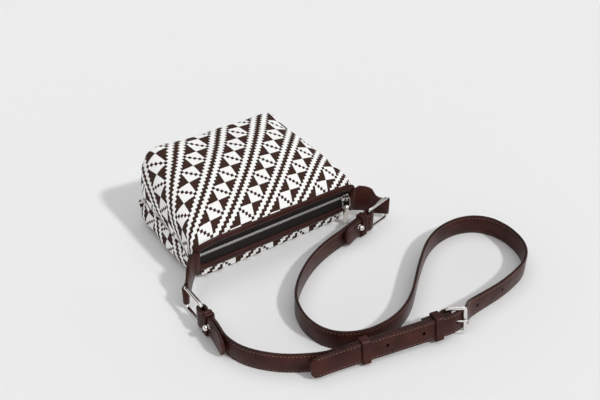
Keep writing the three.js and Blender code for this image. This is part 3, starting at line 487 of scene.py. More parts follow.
def cloth_panel(name, front):
    line, last = (front_line, 4) if front else (back_line, 5)
    full = FRONT_FULL if front else BACK_FULL
    base = FRONT_BASE if front else BACK_BASE
    columns = 2 * round((base + full * 1.7) / CLOTH_STEP / 2)
    fractions = [c / columns for c in range(columns + 1)]
    rows, flat = [], []

    def add_row(y, height, along, close, distance):
        row, length = section(y, height, along, close, front, fractions)
        rows.append(row)
        flat.append([chart_place((f - 0.5) * length, distance, front) for f in fractions])

    profile = evenly([line(last * k / LINE_STEPS) for k in range(LINE_STEPS + 1)], CLOTH_STEP)
    for p, distance in profile:
        along = min(1, max(0, (p.x - MOUTH_Y) / (RIM_Y - MOUTH_Y)))
        add_row(p.x, p.y, along, 0, distance)
    # The turn at the base runs on from the rim
    turn = []
    for k in range(TURN_STEPS + 1):
        a = pi / 2 * k / TURN_STEPS
        reach = sin(a) ** TURN_POWER
        height = full * max(0, cos(a)) ** TURN_POWER if k < TURN_STEPS else 0
        turn.append(Vector((RIM_Y + ROUNDING * reach, height, reach)))
    for p, distance in evenly(turn, CLOTH_STEP)[1:]:
        add_row(p.x, max(0, p.y), 1, p.z, profile[-1][1] + distance)
    gap = SEAM_GAP if front else -SEAM_GAP
    for row in rows:
        row[0].z += gap
        row[-1].z += gap
        if front:
            for p in row:
                pull_corners(p)
    for p in rows[-1][1:-1]:
        p.z += gap
    return laid_grid(name, rows if front else [row[::-1] for row in rows], flat)


def weave_relief(piece):
    mesh = piece.data
    layer = mesh.uv_layers[0].data
    chart = {loop.vertex_index: layer[loop.index].uv.copy() for loop in mesh.loops}
    normals = [v.normal.copy() for v in mesh.vertices]
    for vertex, normal in zip(mesh.vertices, normals):
        column, row = chart[vertex.index]
        if vertex.co.z > FLAT_BELOW:
            lift = STRIPE_LIFT * cos(2 * pi * (column - row) / PERIOD)
            vertex.co += normal * (lift + PUCKER * soft_noise(vertex.co * PUCKER_SCALE)) * MM


for name, front in (("front", True), ("back", False)):
    piece = cloth_panel(f"{name}_cloth", front)
    weave_relief(piece)
    piece.data.materials.append(cloth)
    apply_modifier(piece, "SOLIDIFY", thickness=CLOTH * MM, offset=-1)
    smooth(piece, 50)
    dress(piece, "bag", "woven_cloth", f"{name}_panel")

# %% [markdown]
# The mouth lies in a plane that leans out a little at the top. Its trim is a strip of leather
# folded over the cloth's edge, with a crowned face. A bevelled curve would pinch at the tips, so
# the binding is laid between an outer and an inner outline.

# %% Mouth plane, its outline and the bindings
MOUTH_GAP = 0.5
mouth_matrix = (Matrix.Translation((0, MOUTH_Y - MOUTH_GAP, MOUTH_BACK))
                @ Matrix.Rotation(LEAN_ANGLE, 4, "X"))
MOUTH_TOP = (MOUTH_FRONT - MOUTH_BACK) / cos(LEAN_ANGLE)
MOUTH_TIP = (SEAM - MOUTH_BACK) / cos(LEAN_ANGLE)
BINDING_OUT, BINDING_IN, BINDING_STEPS, OUTLINE_POWER = -1, 7, 90, 0.3
# Pairs of (share from the inner to the outer outline, place in front of the mouth's plane)
BINDING_SECTION = [(0.0, -0.8), (0.03, -1.9), (0.10, -2.6), (0.25, -2.95), (0.75, -2.95),
                   (0.90, -2.6), (0.97, -1.9), (1.0, -0.8), (1.0, -0.4), (0.0, -0.4), (0.0, -0.8)]


def mouth_half(upper, inset):
    half = MOUTH_WIDTH / 2 - 1 - inset
    rise = (MOUTH_TOP - MOUTH_TIP if upper else MOUTH_TIP) - inset
    points = []
    for i in range(BINDING_STEPS + 1):
        a = mix(-pi / 2, pi / 2, i / BINDING_STEPS)
        x = copysign(abs(sin(a)) ** OUTLINE_POWER, a) * half
        up = 0 if i in (0, BINDING_STEPS) else cos(a) ** OUTLINE_POWER * rise
        points.append((x, MOUTH_TIP + (up if upper else -up)))
    return points


for name, upper in (("front", True), ("back", False)):
    gap = SEAM_GAP if upper else -SEAM_GAP
    place = []
    for (xo, zo), (xi, zi) in zip(mouth_half(upper, BINDING_OUT), mouth_half(upper, BINDING_IN)):
        place.append([mouth_matrix @ Vector((mix(xi, xo, f), y, mix(zi, zo, f) + gap))
                      for f, y in BINDING_SECTION])
    piece = laid_grid(f"{name}_trim", place)
    outward(piece)
    piece.data.materials.append(trim_leather)
    smooth(piece, 50)
    dress(piece, "bag", "brown_leather", f"{name}_binding")

# %% [markdown]
# A zip's teeth are cast on a cord at the edge of each tape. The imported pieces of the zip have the
# right shapes already and get their finishes. Teeth and cord are one solid, and the finish
# tells them apart by how far they lie from the zip's line.

# %% The zip
ZIP_HEIGHT = 36.5
ZIP_LINE = (ZIP_HEIGHT - MOUTH_BACK) / cos(LEAN_ANGLE)
TOOTH_REACH, CORD = 0.45 + 2.3, 0.9
CORD_COLOUR = (0.02, 0.016, 0.015, 1)


def darken_cords(material):
    """Metal within the teeth's reach of the zip's line, dark cord beyond it."""
    tree = Nodes(material.node_tree)
    shader = material.node_tree.nodes["Principled BSDF"]
    tone = shader.inputs["Base Color"].links[0].from_socket
    up = mouth_matrix.to_3x3() @ Vector((0, 0, 1))
    start = up.dot(mouth_matrix @ Vector((0, 0, ZIP_LINE)))
    measure = tree.add("ShaderNodeVectorMath", operation="DOT_PRODUCT")
    tree.put(measure, ((0, tree.object_place()), (1, up)))
    away = tree.calc("ABSOLUTE", tree.calc("SUBTRACT", measure.outputs["Value"], start * MM))
    tooth = tree.calc("LESS_THAN", away, (TOOTH_REACH - CORD) * MM)
    tree.put(shader, (("Base Color", tree.mix(tooth, CORD_COLOUR, tone)),))


def finish_packed(name, finish):
    piece = nodes[name]
    piece.data.materials.clear()
    piece.data.materials.append(finish)
    return piece


def soften(piece, width, segments):
    """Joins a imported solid's split corners and rounds its sharp edges."""
    weld = piece.modifiers.new("Weld", "WELD")
    weld.merge_threshold = 2 * WELD_GAP
    edge = piece.modifiers.new("Edge", "BEVEL")
    edge.width = width * MM
    edge.segments = segments
    edge.limit_method = "ANGLE"


darken_cords(teeth_metal)
darken_cords(shaded_teeth_metal)
for name in ("zip_tape_front", "zip_tape_back"):
    finish_packed(name, tape)
for name in ("zip_teeth_front", "zip_bottom_stop", "zip_top_stop_front", "zip_top_stop_back"):
    finish_packed(name, teeth_metal)
# The back row's darker grey metal is painted shade; the real rows are alike.
finish_packed("zip_teeth_back", shaded_teeth_metal)
# The pull's cream colour is a painted reflection.
for name, finish in (("slider_body", nickel), ("pull_tab", pull_metal_painted_reflection)):
    soften(finish_packed(name, finish), 0.3, 2)
for name in ("left_stud_screw", "right_stud_screw"):
    finish_packed(name, nickel)
print("the zip's line lies", round(ZIP_LINE, 1), "mm up the mouth")

# %% [markdown]
# A strap is a long strip of leather. It is swept along its path with a section that has rounded
# edges and a shallow groove where it is stitched. A simulated strip would settle elsewhere, so the
# path is a list of places where the strap lies in the photograph, each with a lean. It stands on
# its edge in the long bends, and leans back where it is doubled at the buckle.

# %% Straps: sizes and places, in mm
FLOOR_GAP = 0.3
STRAP_WIDE, STRAP_THICK, STACK = 23, 3.2, 0.4
HALF = STRAP_WIDE / 2
LAYER = STRAP_THICK + STACK
RING_WIRE, RING_LENGTH, RING_CORNER = 2.9, 34, 3.4
RING_HIGH = STRAP_WIDE + 1.6 + RING_WIRE
RING_Z = FLOOR_GAP + RING_WIRE / 2 + RING_HIGH / 2
TAB_BEHIND = 0.7 + 2.6 + 0.75
TAB_FRONT = MOUTH_Y - MOUTH_GAP - MOUTH_TIP * sin(LEAN_ANGLE) - TAB_BEHIND * cos(LEAN_ANGLE)
FRAME_WIRE, BUCKLE = 3, 17.5
FOLD = FRAME_WIRE / 2 + STACK + STRAP_THICK / 2  # the fold's radius round the heel bar
HEEL, TOE, FREE = FOLD, 0.2 - STRAP_THICK, -LAYER
LEAN, DOUBLED, DOUBLED_RISE, DOUBLED_TURN = 9, 148, 3.7, -12.6
doubled_matrix = (Matrix.Translation((64, -279.3, 5.4))
                  @ Matrix.Rotation(radians(DOUBLED_TURN), 4, "Z")
                  @ Matrix.Rotation(-asin(DOUBLED_RISE / DOUBLED), 4, "Y")
                  @ Matrix.Rotation(-radians(LEAN), 4, "X"))
LOOP_TURN = 2.4 + STRAP_THICK / 2  # the loop's radius round a ring
STUD, STUD_UP = 21, 4


def direction(degrees):
    return Vector((cos(radians(degrees)), sin(radians(degrees)), 0))


class End:
    """One end of the bag: tip of the mouth, tab, ring and strap end."""

    def __init__(self, side, tip, reach, tab, ring, strap, flap_side, flap, splay):
        self.side, self.tip, self.reach, self.tab, self.ring = side, tip, reach, tab, ring
        self.root = Vector((tip * (MOUTH_WIDTH / 2 + 1.6), TAB_FRONT, 0))
        self.tab_bar = self.root + direction(tab) * reach
        self.strap_bar = self.tab_bar + direction(ring) * RING_LENGTH
        self.away = direction(strap)
        self.out = Vector((-self.away.y, self.away.x, 0)) * flap_side
        self.flap, self.splay = flap, splay

    def place(self, s, n, z=0.0):
        """A place s mm along the strap from the ring's bar and n mm out."""
        p = self.strap_bar + self.away * s + self.out * n
        p.z = z
        return p


right = End("right", 1, 36.2, -32, -166, -169, 1, 43, 2)
left = End("left", -1, 33.2, -131.7, -90, -90, -1, 50, 3.5)
print("the straps are", STRAP_WIDE, "mm wide and doubled over", DOUBLED, "mm")


# %% Strap paths: places of (point, lean, share of the width)
def strap_end(end):
    """From the flap's splayed tip back to the ring, round its bar and away."""
    step, turn, diagonal = LAYER / 2, LOOP_TURN, LOOP_TURN * 0.71
    path = [(end.flap, step + end.splay, 0.6), (end.flap - 2.5, step + end.splay * 0.92, 0.9),
            (end.flap - 8, step + end.splay * 0.62, 1), (STUD + 4, step + 0.1, 1),
            (STUD - 4, step, 1), (10.5, step, 1), (6.4, turn * 0.6, 1), (2.4, turn * 0.96, 1),
            (-diagonal, diagonal, 1), (-turn, 0, 1), (-diagonal, -diagonal, 1),
            (2.4, -turn * 0.96, 1), (6.4, -turn * 0.6, 1), (10.5, -step, 1), (STUD - 4, -step, 1),
            (STUD + 4, -step, 1)]
    out = []
    for s, n, share in path:
        drop = min(1, (s - STUD) / 30) if s > STUD else 0
        out.append((end.place(s, n, mix(RING_Z, HALF + FLOOR_GAP, drop)), 0, share))
    return out


def standing(x, y, lean=0):
    tilt = radians(lean)
    z = FLOOR_GAP + HALF * cos(tilt) + STRAP_THICK / 2 * abs(sin(tilt))
    return Vector((x, y, z)), lean, 1


def doubled(x, y, share=1.0, lean=-LEAN):
    """A place in the doubled stretch, seen from the buckle. The lean's sign is the way it runs."""
    return doubled_matrix @ Vector((x, y, HALF)), lean, share


LONG_BENDS = (
    (60, -105.5), (43, -109.5), (25, -115.5), (5, -125), (-13, -137), (-27, -149), (-39, -163),
    (-46, -178), (-49.5, -196), (-47, -215), (-39, -229), (-27, -238.5), (-12, -244.5), (5, -246.5),
    (24, -244.5), (42, -238.5), (59, -228.5), (75, -215.5), (90, -202.5), (105, -190.5),
    (121, -178.5), (138, -169), (156, -163), (176, -161.5), (192, -164.5), (205, -171.5),
    (215, -183.5), (219.5, -200), (219, -217), (214.5, -233), (205, -247), (190, -257.5),
    (169, -264), (146, -268), (122, -269.7, -1))
LONG_DOUBLED = (
    (BUCKLE + 4, 2.4), (BUCKLE, 1.2), (10, -1.4), (3, FREE + 0.3), (-4, FREE), (-20, FREE),
    (-60, FREE), (-122, FREE), (-DOUBLED + 8, FREE - 1), (-DOUBLED + 3, FREE - 1.3, 0.9),
    (-DOUBLED, FREE - 1.5, 0.55))
SHORT_BENDS = ((-128, -166), (-128.2, -177), (-123.4, -194.5), (-113, -210.5), (-97.5, -226),
               (-81, -237), (-62, -246.8, 3))
SHORT_DOUBLED = ((-104, 0), (-90, 0), (-45, 0), (-14, 0), (-4, HEEL - FOLD))
SHORT_FOLDED = ((-3, HEEL + FOLD - 0.5), (-6.8, LAYER + 0.8), (-10, LAYER), (-18, LAYER),
                (-27, LAYER, 0.97))

long_path = strap_end(right) + [standing(*p) for p in LONG_BENDS]
long_path += [(Vector((107, -271, HALF + 1)), -3, 1), (Vector((96, -273.4, HALF + 2.6)), -6, 1)]
long_path += [doubled(*p) for p in LONG_DOUBLED]
short_path = strap_end(left) + [standing(*p) for p in SHORT_BENDS]
short_path += [doubled(x, y, 1, LEAN) for x, y in SHORT_DOUBLED]
for degrees in (-60, -20, 20, 60):
    turn = direction(degrees)
    short_path.append(doubled(FOLD * turn.x, HEEL + FOLD * turn.y, 1, -LEAN * turn.y))
short_path += [doubled(*p) for p in SHORT_FOLDED]


def strap_frames(path, spacing=4.0, most_turn=6):
    """Stations along a path, closer where it bends: (point, thick direction, wide one, share)."""
    line = curve_through([p for p, lean, share in path])
    last = len(path) - 1

    def tangent(t):
        return (line(min(last, t + 0.01)) - line(max(0, t - 0.01))).normalized()

    times = []
    for i in range(last):
        straight = (line(i + 1) - line(i)).length / spacing
        bend = tangent(i).angle(tangent(i + 1)) / radians(most_turn)
        steps = max(1, ceil(max(straight, bend)))
        times += [i + k / steps for k in range(steps)]
    frames = []
    for t in times + [last]:
        i = min(int(t), last - 1)
        along = tangent(t)
        side = Vector((-along.y, along.x, 0)).normalized()
        up = along.cross(side).normalized()
        lean = radians(mix(path[i][1], path[i + 1][1], t - i))
        share = mix(path[i][2], path[i + 1][2], t - i)
        wide = up * cos(lean) + side * sin(lean)
        frames.append((line(t), wide.cross(along).normalized(), wide, share))
    return frames


def frames_length(frames):
    return sum((b[0] - a[0]).length for a, b in zip(frames, frames[1:]))


long_frames = strap_frames(long_path)
short_frames = strap_frames(short_path)
print("long strap", round(frames_length(long_frames)), "mm,",
      "short strap", round(frames_length(short_frames)), "mm")

# %% [markdown]
# Punched holes have crisp rims, so each is cut by a Boolean with a stadium-shaped punch. The thread
# stands out of the leather in short stitches, which a bump map would lose at a low angle, so each
# stitch is a tiny faceted body, and all of a strap's stitches are one object.

# %% Holes and stitches
STITCH_LINE, STITCH_PITCH, GROOVE_DEEP, GROOVE_HALF = 9.2, 3.7, 0.18, 0.45
STITCH_LONG, STITCH_HALF, STITCH_HEIGHTS = 1.25, 0.33, (-0.1, 0.05, 0.28)
HOLE, SLOT, HOLE_PITCH, STUD_HOLE, PUNCH_DEEP = 3.8, 8.6, 39, 3.6, 14
MIDDLE_HOLE = DOUBLED + 9.5


def strap_section(half_thick, half_wide, groove):
    """A quarter of the outline, which is mirrored and then turned half round."""
    points = [(half_thick, groove - GROOVE_HALF), (half_thick - GROOVE_DEEP, groove),
              (half_thick, groove + GROOVE_HALF), (half_thick - 0.06, half_wide - 0.6),
              (half_thick - 0.5, half_wide)]
    points += [(-t, w) for t, w in reversed(points)]
    return points + [(-t, -w) for t, w in points]


def place_on(frames, distance):
    """The frame at a distance along a strap."""
    for (p, thick, wide, share), (q, thick2, wide2, share2) in zip(frames, frames[1:]):
        step = (q - p).length
        if distance <= step:
            t = distance / step
            thick, wide = thick.lerp(thick2, t).normalized(), wide.lerp(wide2, t).normalized()
            return p.lerp(q, t), thick, wide, mix(share, share2, t)
        distance -= step
    return frames[-1]


def cutter(point, along, across, through, diameter, length):
    """A stadium-shaped punch, as a stretched cylinder."""
    bpy.ops.mesh.primitive_cylinder_add(vertices=28, radius=diameter / 2, depth=PUNCH_DEEP)
    tool = bpy.context.object
    stretch = (length - diameter) / 2
    for vertex in tool.data.vertices:
        x, y, z = vertex.co
        x += copysign(stretch, x) if abs(x) > 1e-6 else 0
        vertex.co = (point + along * x + across * y + through * z) * MM
    outward(tool)
    return tool


def punch_holes(piece, tools):
    for tool in tools:
        apply_modifier(piece, "BOOLEAN", object=tool, operation="DIFFERENCE", solver="EXACT")
        bpy.data.objects.remove(tool, do_unlink=True)


def strap_stitches(frames, start, end):
    """Stitches along both edges on both faces: (point, along, across, out)."""
    count = int((frames_length(frames) - start - end) / STITCH_PITCH)
    places = []
    for side in (1, -1):
        for edge in (1, -1):
            for n in range(count):
                point, thick, wide, share = place_on(frames, start + STITCH_PITCH * n)
                point = point + wide * (STITCH_LINE * edge * share)
                point += thick * (side * (STRAP_THICK / 2 - GROOVE_DEEP))
                places.append((point, thick.cross(wide), wide, thick * side))
    return places


def stitches(name, places):
    """One object of short raised threads."""
    sunk, foot, high = STITCH_HEIGHTS
    shape = [(x * STITCH_LONG, y * STITCH_HALF, z) for x, y, z in (
        (-1, 0, sunk), (-0.6, 1, foot), (-0.6, -1, foot), (-0.4, 0, high), (0.4, 0, high),
        (0.6, 1, foot), (0.6, -1, foot), (1, 0, sunk))]
    faces = [(0, 1, 3), (0, 3, 2), (1, 5, 4, 3), (2, 3, 4, 6), (5, 7, 4), (6, 4, 7),
             (0, 2, 6, 7, 5, 1)]
    build = bmesh.new()
    for point, along, across, out in places:
        corners = [build.verts.new((point + along * x + across * y + out * z) * MM)
                   for x, y, z in shape]
        for face in faces:
            build.faces.new([corners[n] for n in face])
    bpy.ops.mesh.primitive_plane_add(size=0.001)
    piece = bpy.context.object
    piece.name = name
    build.normal_update()
    build.to_mesh(piece.data)
    build.free()
    outward(piece)
    piece.data.materials.append(thread)
    dress(piece, "bag", "brown_leather")


def stud_hole(end):
    point = end.place(STUD, 0, RING_Z + STUD_UP)
    return cutter(point, end.away, Vector((0, 0, 1)), end.out, STUD_HOLE, STUD_HOLE)


def buckle_window():
    """A box that opens the short strap's fold for the buckle's prong."""
    bpy.ops.mesh.primitive_cube_add(size=1)
    tool = bpy.context.object
    for vertex in tool.data.vertices:
        x, y, z = vertex.co
        local = (-5.6 if x < 0 else FOLD + 4, -4 if y < 0 else 14, HALF + (-1.7 if z < 0 else 1.7))
        vertex.co = doubled_matrix @ Vector(local) * MM
    outward(tool)
    return tool


# %% The two straps
SECTION = strap_section(STRAP_THICK / 2, HALF, STITCH_LINE)
long_piece = swept("long_strap_leather", long_frames, SECTION, leather)
short_piece = swept("short_strap_leather", short_frames, SECTION, leather)
tools = []
for number in range(-2, 3):
    point, thick, wide, share = place_on(long_frames[::-1], MIDDLE_HOLE + HOLE_PITCH * number)
    along = thick.cross(wide).normalized()
    tools.append(cutter(point, along, wide, thick, HOLE, SLOT if number == 0 else HOLE))
punch_holes(long_piece, tools + [stud_hole(right)])
punch_holes(short_piece, [stud_hole(left), buckle_window()])
for piece, node in ((long_piece, "long_strap"), (short_piece, "short_strap")):
    colour_edges(piece)
    smooth(piece, 42)
    dress(piece, "bag", "brown_leather", node)
stitches("long_strap_stitching", strap_stitches(long_frames, 6, 4))
stitches("short_strap_stitching", strap_stitches(short_frames, 6, 6))

# %% [markdown]
# The end tabs are thick leather folded round the rings: a deep plate at the tip of the mouth that
# narrows to a loop. A flat cut-out bent by a modifier would get thin at the fold, so the tab's
# outline is laid along its folded line.

# %% End tabs
TAB_LAYER, TAB_LOOP, TAB_DEPTH, TAB_SHOULDER, TAB_ARM = 1.5, 1.95, 34, 28, 7.4
LOOP_TOP = RING_Z + RING_HIGH / 2 - RING_WIRE / 2 - 0.65
LOOP_LOW = LOOP_TOP - 20
TAB_SUBSTEPS = 4


def bent(points, count=8):
    """Points of a line of quadratic bends: start, then control and end in turn."""
    out = [Vector(points[0])]
    for n in range(1, len(points) - 1, 2):
        a, b, c = Vector(points[n - 1]), Vector(points[n]), Vector(points[n + 1])
        for k in range(1, count + 1):
            t = k / count
            out.append(a * (1 - t) ** 2 + b * (2 * t * (1 - t)) + c * t * t)
    return out


def height_at(line, s):
    for a, b in zip(line, line[1:]):
        if s <= b.x:
            return mix(a.y, b.y, (s - a.x) / max(1e-6, b.x - a.x)) if s > a.x else a.y
    return line[-1].y


def end_tab(end):
    top, low = SEAM + TAB_DEPTH / 2, SEAM - TAB_DEPTH / 2
    outer, radius = TAB_LOOP + TAB_LAYER, TAB_LOOP + TAB_LAYER / 2
    high_line = bent([(-1, top), (TAB_SHOULDER * 0.6, top), (TAB_SHOULDER * 0.72, top - 8),
                      (TAB_SHOULDER * 0.85, LOOP_TOP), (end.reach - outer * 0.4, LOOP_TOP)])
    low_line = bent([(-1, low), (7, low + 1.8), (14, LOOP_LOW + 3), (TAB_SHOULDER * 0.7, LOOP_LOW),
                     (end.reach - outer, LOOP_LOW)])
    along = direction(end.tab)
    out = Vector((along.y, -along.x, 0)) * end.tip
    # The folded line: along the mouth, out to the ring, round its bar and back
    path = [(Vector((end.tip * (MOUTH_WIDTH / 2 - inset), TAB_FRONT, 0)), s)
            for inset, s in ((TAB_ARM, -8), (4, -4), (0.5, -1))]
    forth = ((4, 0.78), (10, 0.78), (18, 0.78), (24, 0.9), (end.reach - 6, 1.25),
             (end.reach - 3, 2.0))
    path += [(end.root + along * x + out * y, x) for x, y in forth]
    for degrees in range(100, -101, -25):
        a = radians(degrees)
        turned_out = out * sin(a) + along * cos(a)
        path.append((end.root + along * end.reach + turned_out * radius, end.reach))
    back = ((end.reach - 3, -2.0), (end.reach - 6, -1.25), (24, -0.9), (18, -0.8), (10, -0.8),
            (2, -0.8))
    path += [(end.root + along * x + out * y, x) for x, y in back]
    line = curve_through([p for p, s in path])
    last = len(path) - 1
    stations = []
    for k in range(last * TAB_SUBSTEPS + 1):
        t = k / TAB_SUBSTEPS
        n = min(int(t), last - 1)
        s = mix(path[n][1], path[n + 1][1], t - n)
        tangent = (line(min(last, t + 0.02)) - line(max(0, t - 0.02))).normalized()
        thick = Vector((tangent.y, -tangent.x, 0)) * end.tip
        # The plate leans with the mouth, and the rest of the tab stands upright
        lean = LEAN_ANGLE * min(1, max(0, (2 - s) / 4)) if n < 5 else 0
        wide = Vector((0, -sin(lean), cos(lean)))
        high, deep = height_at(high_line, s), height_at(low_line, s)
        if s < -5 and n < 2:
            high, deep = high + 5 + s, deep - 5 - s
        thick = (thick - wide * thick.dot(wide)).normalized()
        middle = (high + deep) / 2
        point = line(t) + Vector((0, -(middle - SEAM) * tan(lean), middle))
        stations.append((point, thick, wide, (high - deep) / 2))
    half = TAB_LAYER / 2
    profile = [(half, 0.97), (half * 0.6, 1.0), (-half * 0.6, 1.0), (-half, 0.97)]
    profile += [(-t, -w) for t, w in profile]
    piece = swept(f"{end.side}_tab_leather", stations, profile, leather)
    colour_edges(piece)
    smooth(piece, 45)
    dress(piece, "bag", "brown_leather", f"{end.side}_end_tab")


for end in (left, right):
    end_tab(end)

# %% [markdown]
# The rings, the buckle's frame and the slider's bail are bent wire: a round section swept along a
# rectangle with rounded corners. The photograph shows the rings' level sides and the buckle's outer
# ones a little broad, so their section is flattened there.


# %% Wire loops
def round_section(diameter, sides=16):
    angles = [2 * pi * n / sides for n in range(sides)]
    return [(diameter / 2 * cos(a), diameter / 2 * sin(a)) for a in angles]


def wire_loop(name, matrix, wide, high, corner, wire, body, node, broad=1.0, deep=1.0):
    """A rectangle of wire; broad flattens all but its first side, deep flattens the level sides."""
    stations = []
    turn = matrix.to_3x3()
    across = turn @ Vector((0, 1, 0))
    for n, (x, z) in enumerate(((1, 1), (-1, 1), (-1, -1), (1, -1))):
        for k in range(9):
            a = pi / 2 * (n + k / 8)
            out = Vector((cos(a), 0, sin(a)))
            point = Vector((x * (wide / 2 - corner), 0, z * (high / 2 - corner))) + out * corner
            flatter = mix(1, broad, min(1, 1 + out.x))
            share = mix(1, deep, abs(out.z))
            stations.append((matrix @ point, turn @ out * flatter, across, share))
    fine = []
    for a, b in zip(stations, stations[1:] + stations[:1]):
        fine.append(a)
        count = int((b[0] - a[0]).length / 3)
        fine += [(a[0].lerp(b[0], k / count), a[1], a[2], a[3]) for k in range(1, count)]
    piece = swept(name, fine, round_section(wire), nickel, closed=True)
    smooth(piece, 60)
    dress(piece, body, "polished_metal", node)


for end in (left, right):
    middle = (end.tab_bar + end.strap_bar) / 2
    middle.z = RING_Z
    ring_matrix = Matrix.Translation(middle) @ Matrix.Rotation(radians(end.ring), 4, "Z")
    wire_loop(f"{end.side}_ring_wire", ring_matrix, RING_LENGTH, RING_HIGH, RING_CORNER, RING_WIRE,
              f"ring_{end.side}", f"{end.side}_ring", 1.0, 1.6)

frame_tilt = atan2(TOE - HEEL, BUCKLE)
frame_length = BUCKLE / cos(frame_tilt)
buckle_matrix = (doubled_matrix @ Matrix.Translation((0, HEEL, HALF))
                 @ Matrix.Rotation(frame_tilt, 4, "Z"))
wire_loop("buckle_wire", buckle_matrix @ Matrix.Translation((frame_length / 2, 0, 0)), frame_length,
          STRAP_WIDE + 1.4 + FRAME_WIRE, 2.4, FRAME_WIRE, "buckle", "buckle_frame", 1.4, 1.25)

BAIL, BAIL_X, BAIL_OUT, BAIL_SWING = 12, 92, -3.95, 8
bail_matrix = (mouth_matrix @ Matrix.Translation((BAIL_X, BAIL_OUT, ZIP_LINE))
               @ Matrix.Rotation(-LEAN_ANGLE - radians(BAIL_SWING), 4, "X")
               @ Matrix.Translation((0, 0, -BAIL / 2)))
wire_loop("bail_wire", bail_matrix, 10, BAIL, 2.2, 1.5, "bail", "slider_bail")

# %% [markdown]
# The prong is a tapered wire whose eye goes round the buckle's heel bar. The same sweep makes it,
# from the open eye along a gentle bow to the tip, which rests on the frame's far bar.

# %% Prong
PRONG_WIRE, PRONG_PLAY, PRONG_TIP, TAPER_FROM = 2.2, 0.45, 0.62, 8.6
eye = FRAME_WIRE / 2 + PRONG_PLAY + PRONG_WIRE / 2
rest = -FRAME_WIRE / 2 - PRONG_WIRE / 2 - 0.3
prong_path = [direction(degrees) * eye for degrees in (215, 180, 135, 90, 45, 10)]
prong_path += [Vector((frame_length * share, y, 0)) for share, y in (
    (0.24, eye * 0.2), (0.6, rest * 0.55), (0.93, rest), (1.05, rest), (1.14, rest + 0.5))]
prong_line = curve_through(prong_path)
turn = buckle_matrix.to_3x3()
stations = []
for k in range(81):
    t = k / 8
    tangent = (prong_line(min(10, t + 0.02)) - prong_line(max(0, t - 0.02))).normalized()
    thin = 1.0 if t < TAPER_FROM else mix(1.0, PRONG_TIP, (t - TAPER_FROM) / (10 - TAPER_FROM))
    thick = Vector((-tangent.y, tangent.x, 0))
    stations.append((buckle_matrix @ prong_line(t), turn @ thick * thin,
                     turn @ Vector((0, 0, 1)) * thin, 1.0))
prong = swept("prong_wire", stations, round_section(PRONG_WIRE, 14), nickel)
smooth(prong, 60)
dress(prong, "prong", "polished_metal", "buckle_prong")

# %% [markdown]
# A stud's head is turned on a lathe, so a profile is spun about its axis here too. It is a ball on
# a collar, with a neck through both layers of the strap's end. A Screw modifier would spin it as
# well, but the laid grid takes any axis.

# %% Studs
STUD_RADIUS, STUD_NECK, SPIN_STEPS, AXIS_GAP = 3.2, 1.5, 32, 0.002
reach = LAYER / 2 + STRAP_THICK / 2
face, collar = reach + 0.4, STUD_RADIUS * 0.86
profile = [(AXIS_GAP, -reach + 0.3), (STUD_NECK, -reach + 0.3), (STUD_NECK, face), (collar, face),
           (collar, face + 0.6), (STUD_RADIUS * 0.75, face + 0.8), (STUD_NECK, face + 1.2)]
for k in range(15):
    a = mix(-0.3 * pi, pi / 2, k / 14)
    radius = max(STUD_RADIUS * cos(a), AXIS_GAP)
    profile.append((radius, face + 1.2 + STUD_RADIUS * (0.8 + sin(a))))
spin = [2 * pi * n / SPIN_STEPS for n in range(SPIN_STEPS + 1)]
for end in (left, right):
    to_face = Vector((0, 1, 0)).rotation_difference(end.out).to_matrix().to_4x4()
    matrix = Matrix.Translation(end.place(STUD, 0, RING_Z + STUD_UP)) @ to_face
    place = [[matrix @ Vector((r * cos(a), y, r * sin(a))) for a in spin]
             for r, y in profile]
    piece = laid_grid(f"{end.side}_stud_head", place)
    outward(piece)
    piece.data.materials.append(nickel)
    smooth(piece, 40)
    dress(piece, "bag", "polished_metal", f"{end.side}_stud")

# %% [markdown]
# Each strap end is held by a band of leather that looks like two soft rolls. It is one closed
# sweep round both layers, whose section has two humps. The two keepers near the buckle are plain
# bands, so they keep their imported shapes, with the sharp edges softened.

# %% Keepers
KEEPER_START, KEEPER_WIDE, KEEPER_GAP, KEEPER_CORNER = 8.2, 8.4, 0.5, 1.3
ROLL_BASE, ROLL_HIGH, ROLL_STEPS = 0.8, 1.5, 18


def rolled_keeper(end):
    half_out = LAYER / 2 + STRAP_THICK / 2 + KEEPER_GAP
    half_high = HALF + KEEPER_GAP
    profile = []
    for k in range(ROLL_STEPS + 1):
        hump = abs(sin(2 * pi * k / ROLL_STEPS)) ** 0.6
        w = mix(-KEEPER_WIDE / 2, KEEPER_WIDE / 2, k / ROLL_STEPS)
        profile.append((ROLL_BASE + ROLL_HIGH * hump, w))
    profile += [(0.05, KEEPER_WIDE / 2 - 0.1), (0.05, -KEEPER_WIDE / 2 + 0.1)]
    stations = []
    for n, (x, z) in enumerate(((1, 1), (-1, 1), (-1, -1), (1, -1))):
        point = end.place(KEEPER_START + KEEPER_WIDE / 2, x * (half_out - KEEPER_CORNER),
                          RING_Z + z * (half_high - KEEPER_CORNER))
        for k in range(7):
            a = pi / 2 * (n + k / 6)
            out = end.out * cos(a) + Vector((0, 0, sin(a)))
            stations.append((point + out * KEEPER_CORNER, out, end.away, 1.0))
    piece = swept(f"{end.side}_rolled_keeper", stations, profile, leather, closed=True)
    smooth(piece, 60)
    dress(piece, "bag", "brown_leather", f"{end.side}_end_keeper")


for end in (left, right):
    rolled_keeper(end)
for name in ("fixed_keeper", "sliding_keeper"):
    soften(finish_packed(name, leather), 0.45, 3)
print("four keepers dressed")

# %% [markdown]
# The bag lies on a plain pale floor. The world gives most of the light, evenly but for a dark band
# half way up, which polished wire mirrors as a black line. A broad sun from the front right gives
# the pale shadow on the left its edge. Area lamps could do both, but they would light each size of
# bag differently.

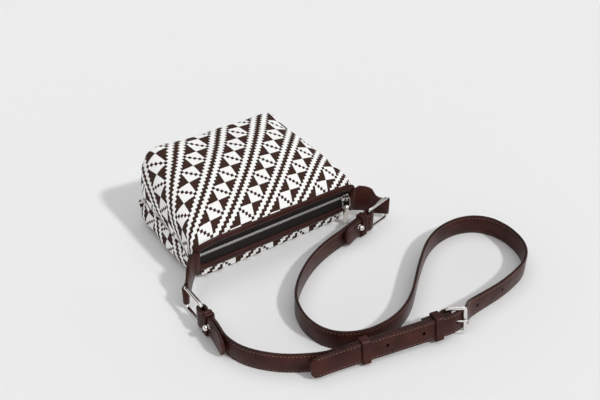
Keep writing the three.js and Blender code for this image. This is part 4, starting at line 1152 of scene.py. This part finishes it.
# %% Floor and light
FLOOR_SIZE, FLOOR_DARK, FLOOR_LIGHT = 12, (0.832, 0.832, 0.832, 1), (0.842, 0.842, 0.842, 1)
BAND_STARTS, BAND_ENDS, BAND_COLOUR = (0.34, 0.42), (0.68, 0.74), (0.02, 0.02, 0.02, 1)
WORLD_STRENGTH, SUN_STRENGTH, SUN_DEGREES = 1.05, 1.45, 5
SUN_FROM = Vector((0.33, -0.86, 0.93))

bpy.ops.mesh.primitive_plane_add(size=FLOOR_SIZE)
floor = bpy.context.object
floor.name = "floor"
floor.data.materials.append(cloudy_finish("pale floor", 1.5, FLOOR_DARK, FLOOR_LIGHT, MATT, 0.1))

world = bpy.data.worlds.new("studio")
bpy.context.scene.world = world
world.use_nodes = True
sky = Nodes(world.node_tree)
height = sky.split(sky.add("ShaderNodeTexCoord").outputs["Generated"])["Z"]
wall = sky.calc("SUBTRACT", sky.ramp(height, *BAND_STARTS), sky.ramp(height, *BAND_ENDS))
sky.put(world.node_tree.nodes["Background"],
        (("Color", sky.mix(wall, (1, 1, 1, 1), BAND_COLOUR)), ("Strength", WORLD_STRENGTH)))

bpy.ops.object.light_add(type="SUN", location=SUN_FROM)
sun = bpy.context.object
sun.name = "key"
sun.data.angle = radians(SUN_DEGREES)
sun.data.energy = SUN_STRENGTH
sun.rotation_euler = (-SUN_FROM).to_track_quat("-Z", "Y").to_euler()
print("floor and light are set")

# %% [markdown]
# The camera's place was fitted to the straight edges of the bag in the photograph. The Standard
# view keeps the floor as pale as it is there, where a filmic view would grey it.

# %% Camera
TARGET = Vector((0.0750, -0.0045, 0.0))
AZIMUTH, ELEVATION, DISTANCE = radians(-34.5), radians(35.5), 1.034
SENSOR, LENS = 36, 51
back = Vector((sin(AZIMUTH) * cos(ELEVATION), -cos(AZIMUTH) * cos(ELEVATION),
               sin(ELEVATION)))
bpy.ops.object.camera_add(location=TARGET + back * DISTANCE)
camera = bpy.context.object
camera.rotation_euler = (-back).to_track_quat("-Z", "Y").to_euler()
camera.data.sensor_width = SENSOR
camera.data.lens = LENS
bpy.context.scene.camera = camera
bpy.context.scene.view_settings.view_transform = "Standard"
print("the camera stands", DISTANCE, "m from the bag")
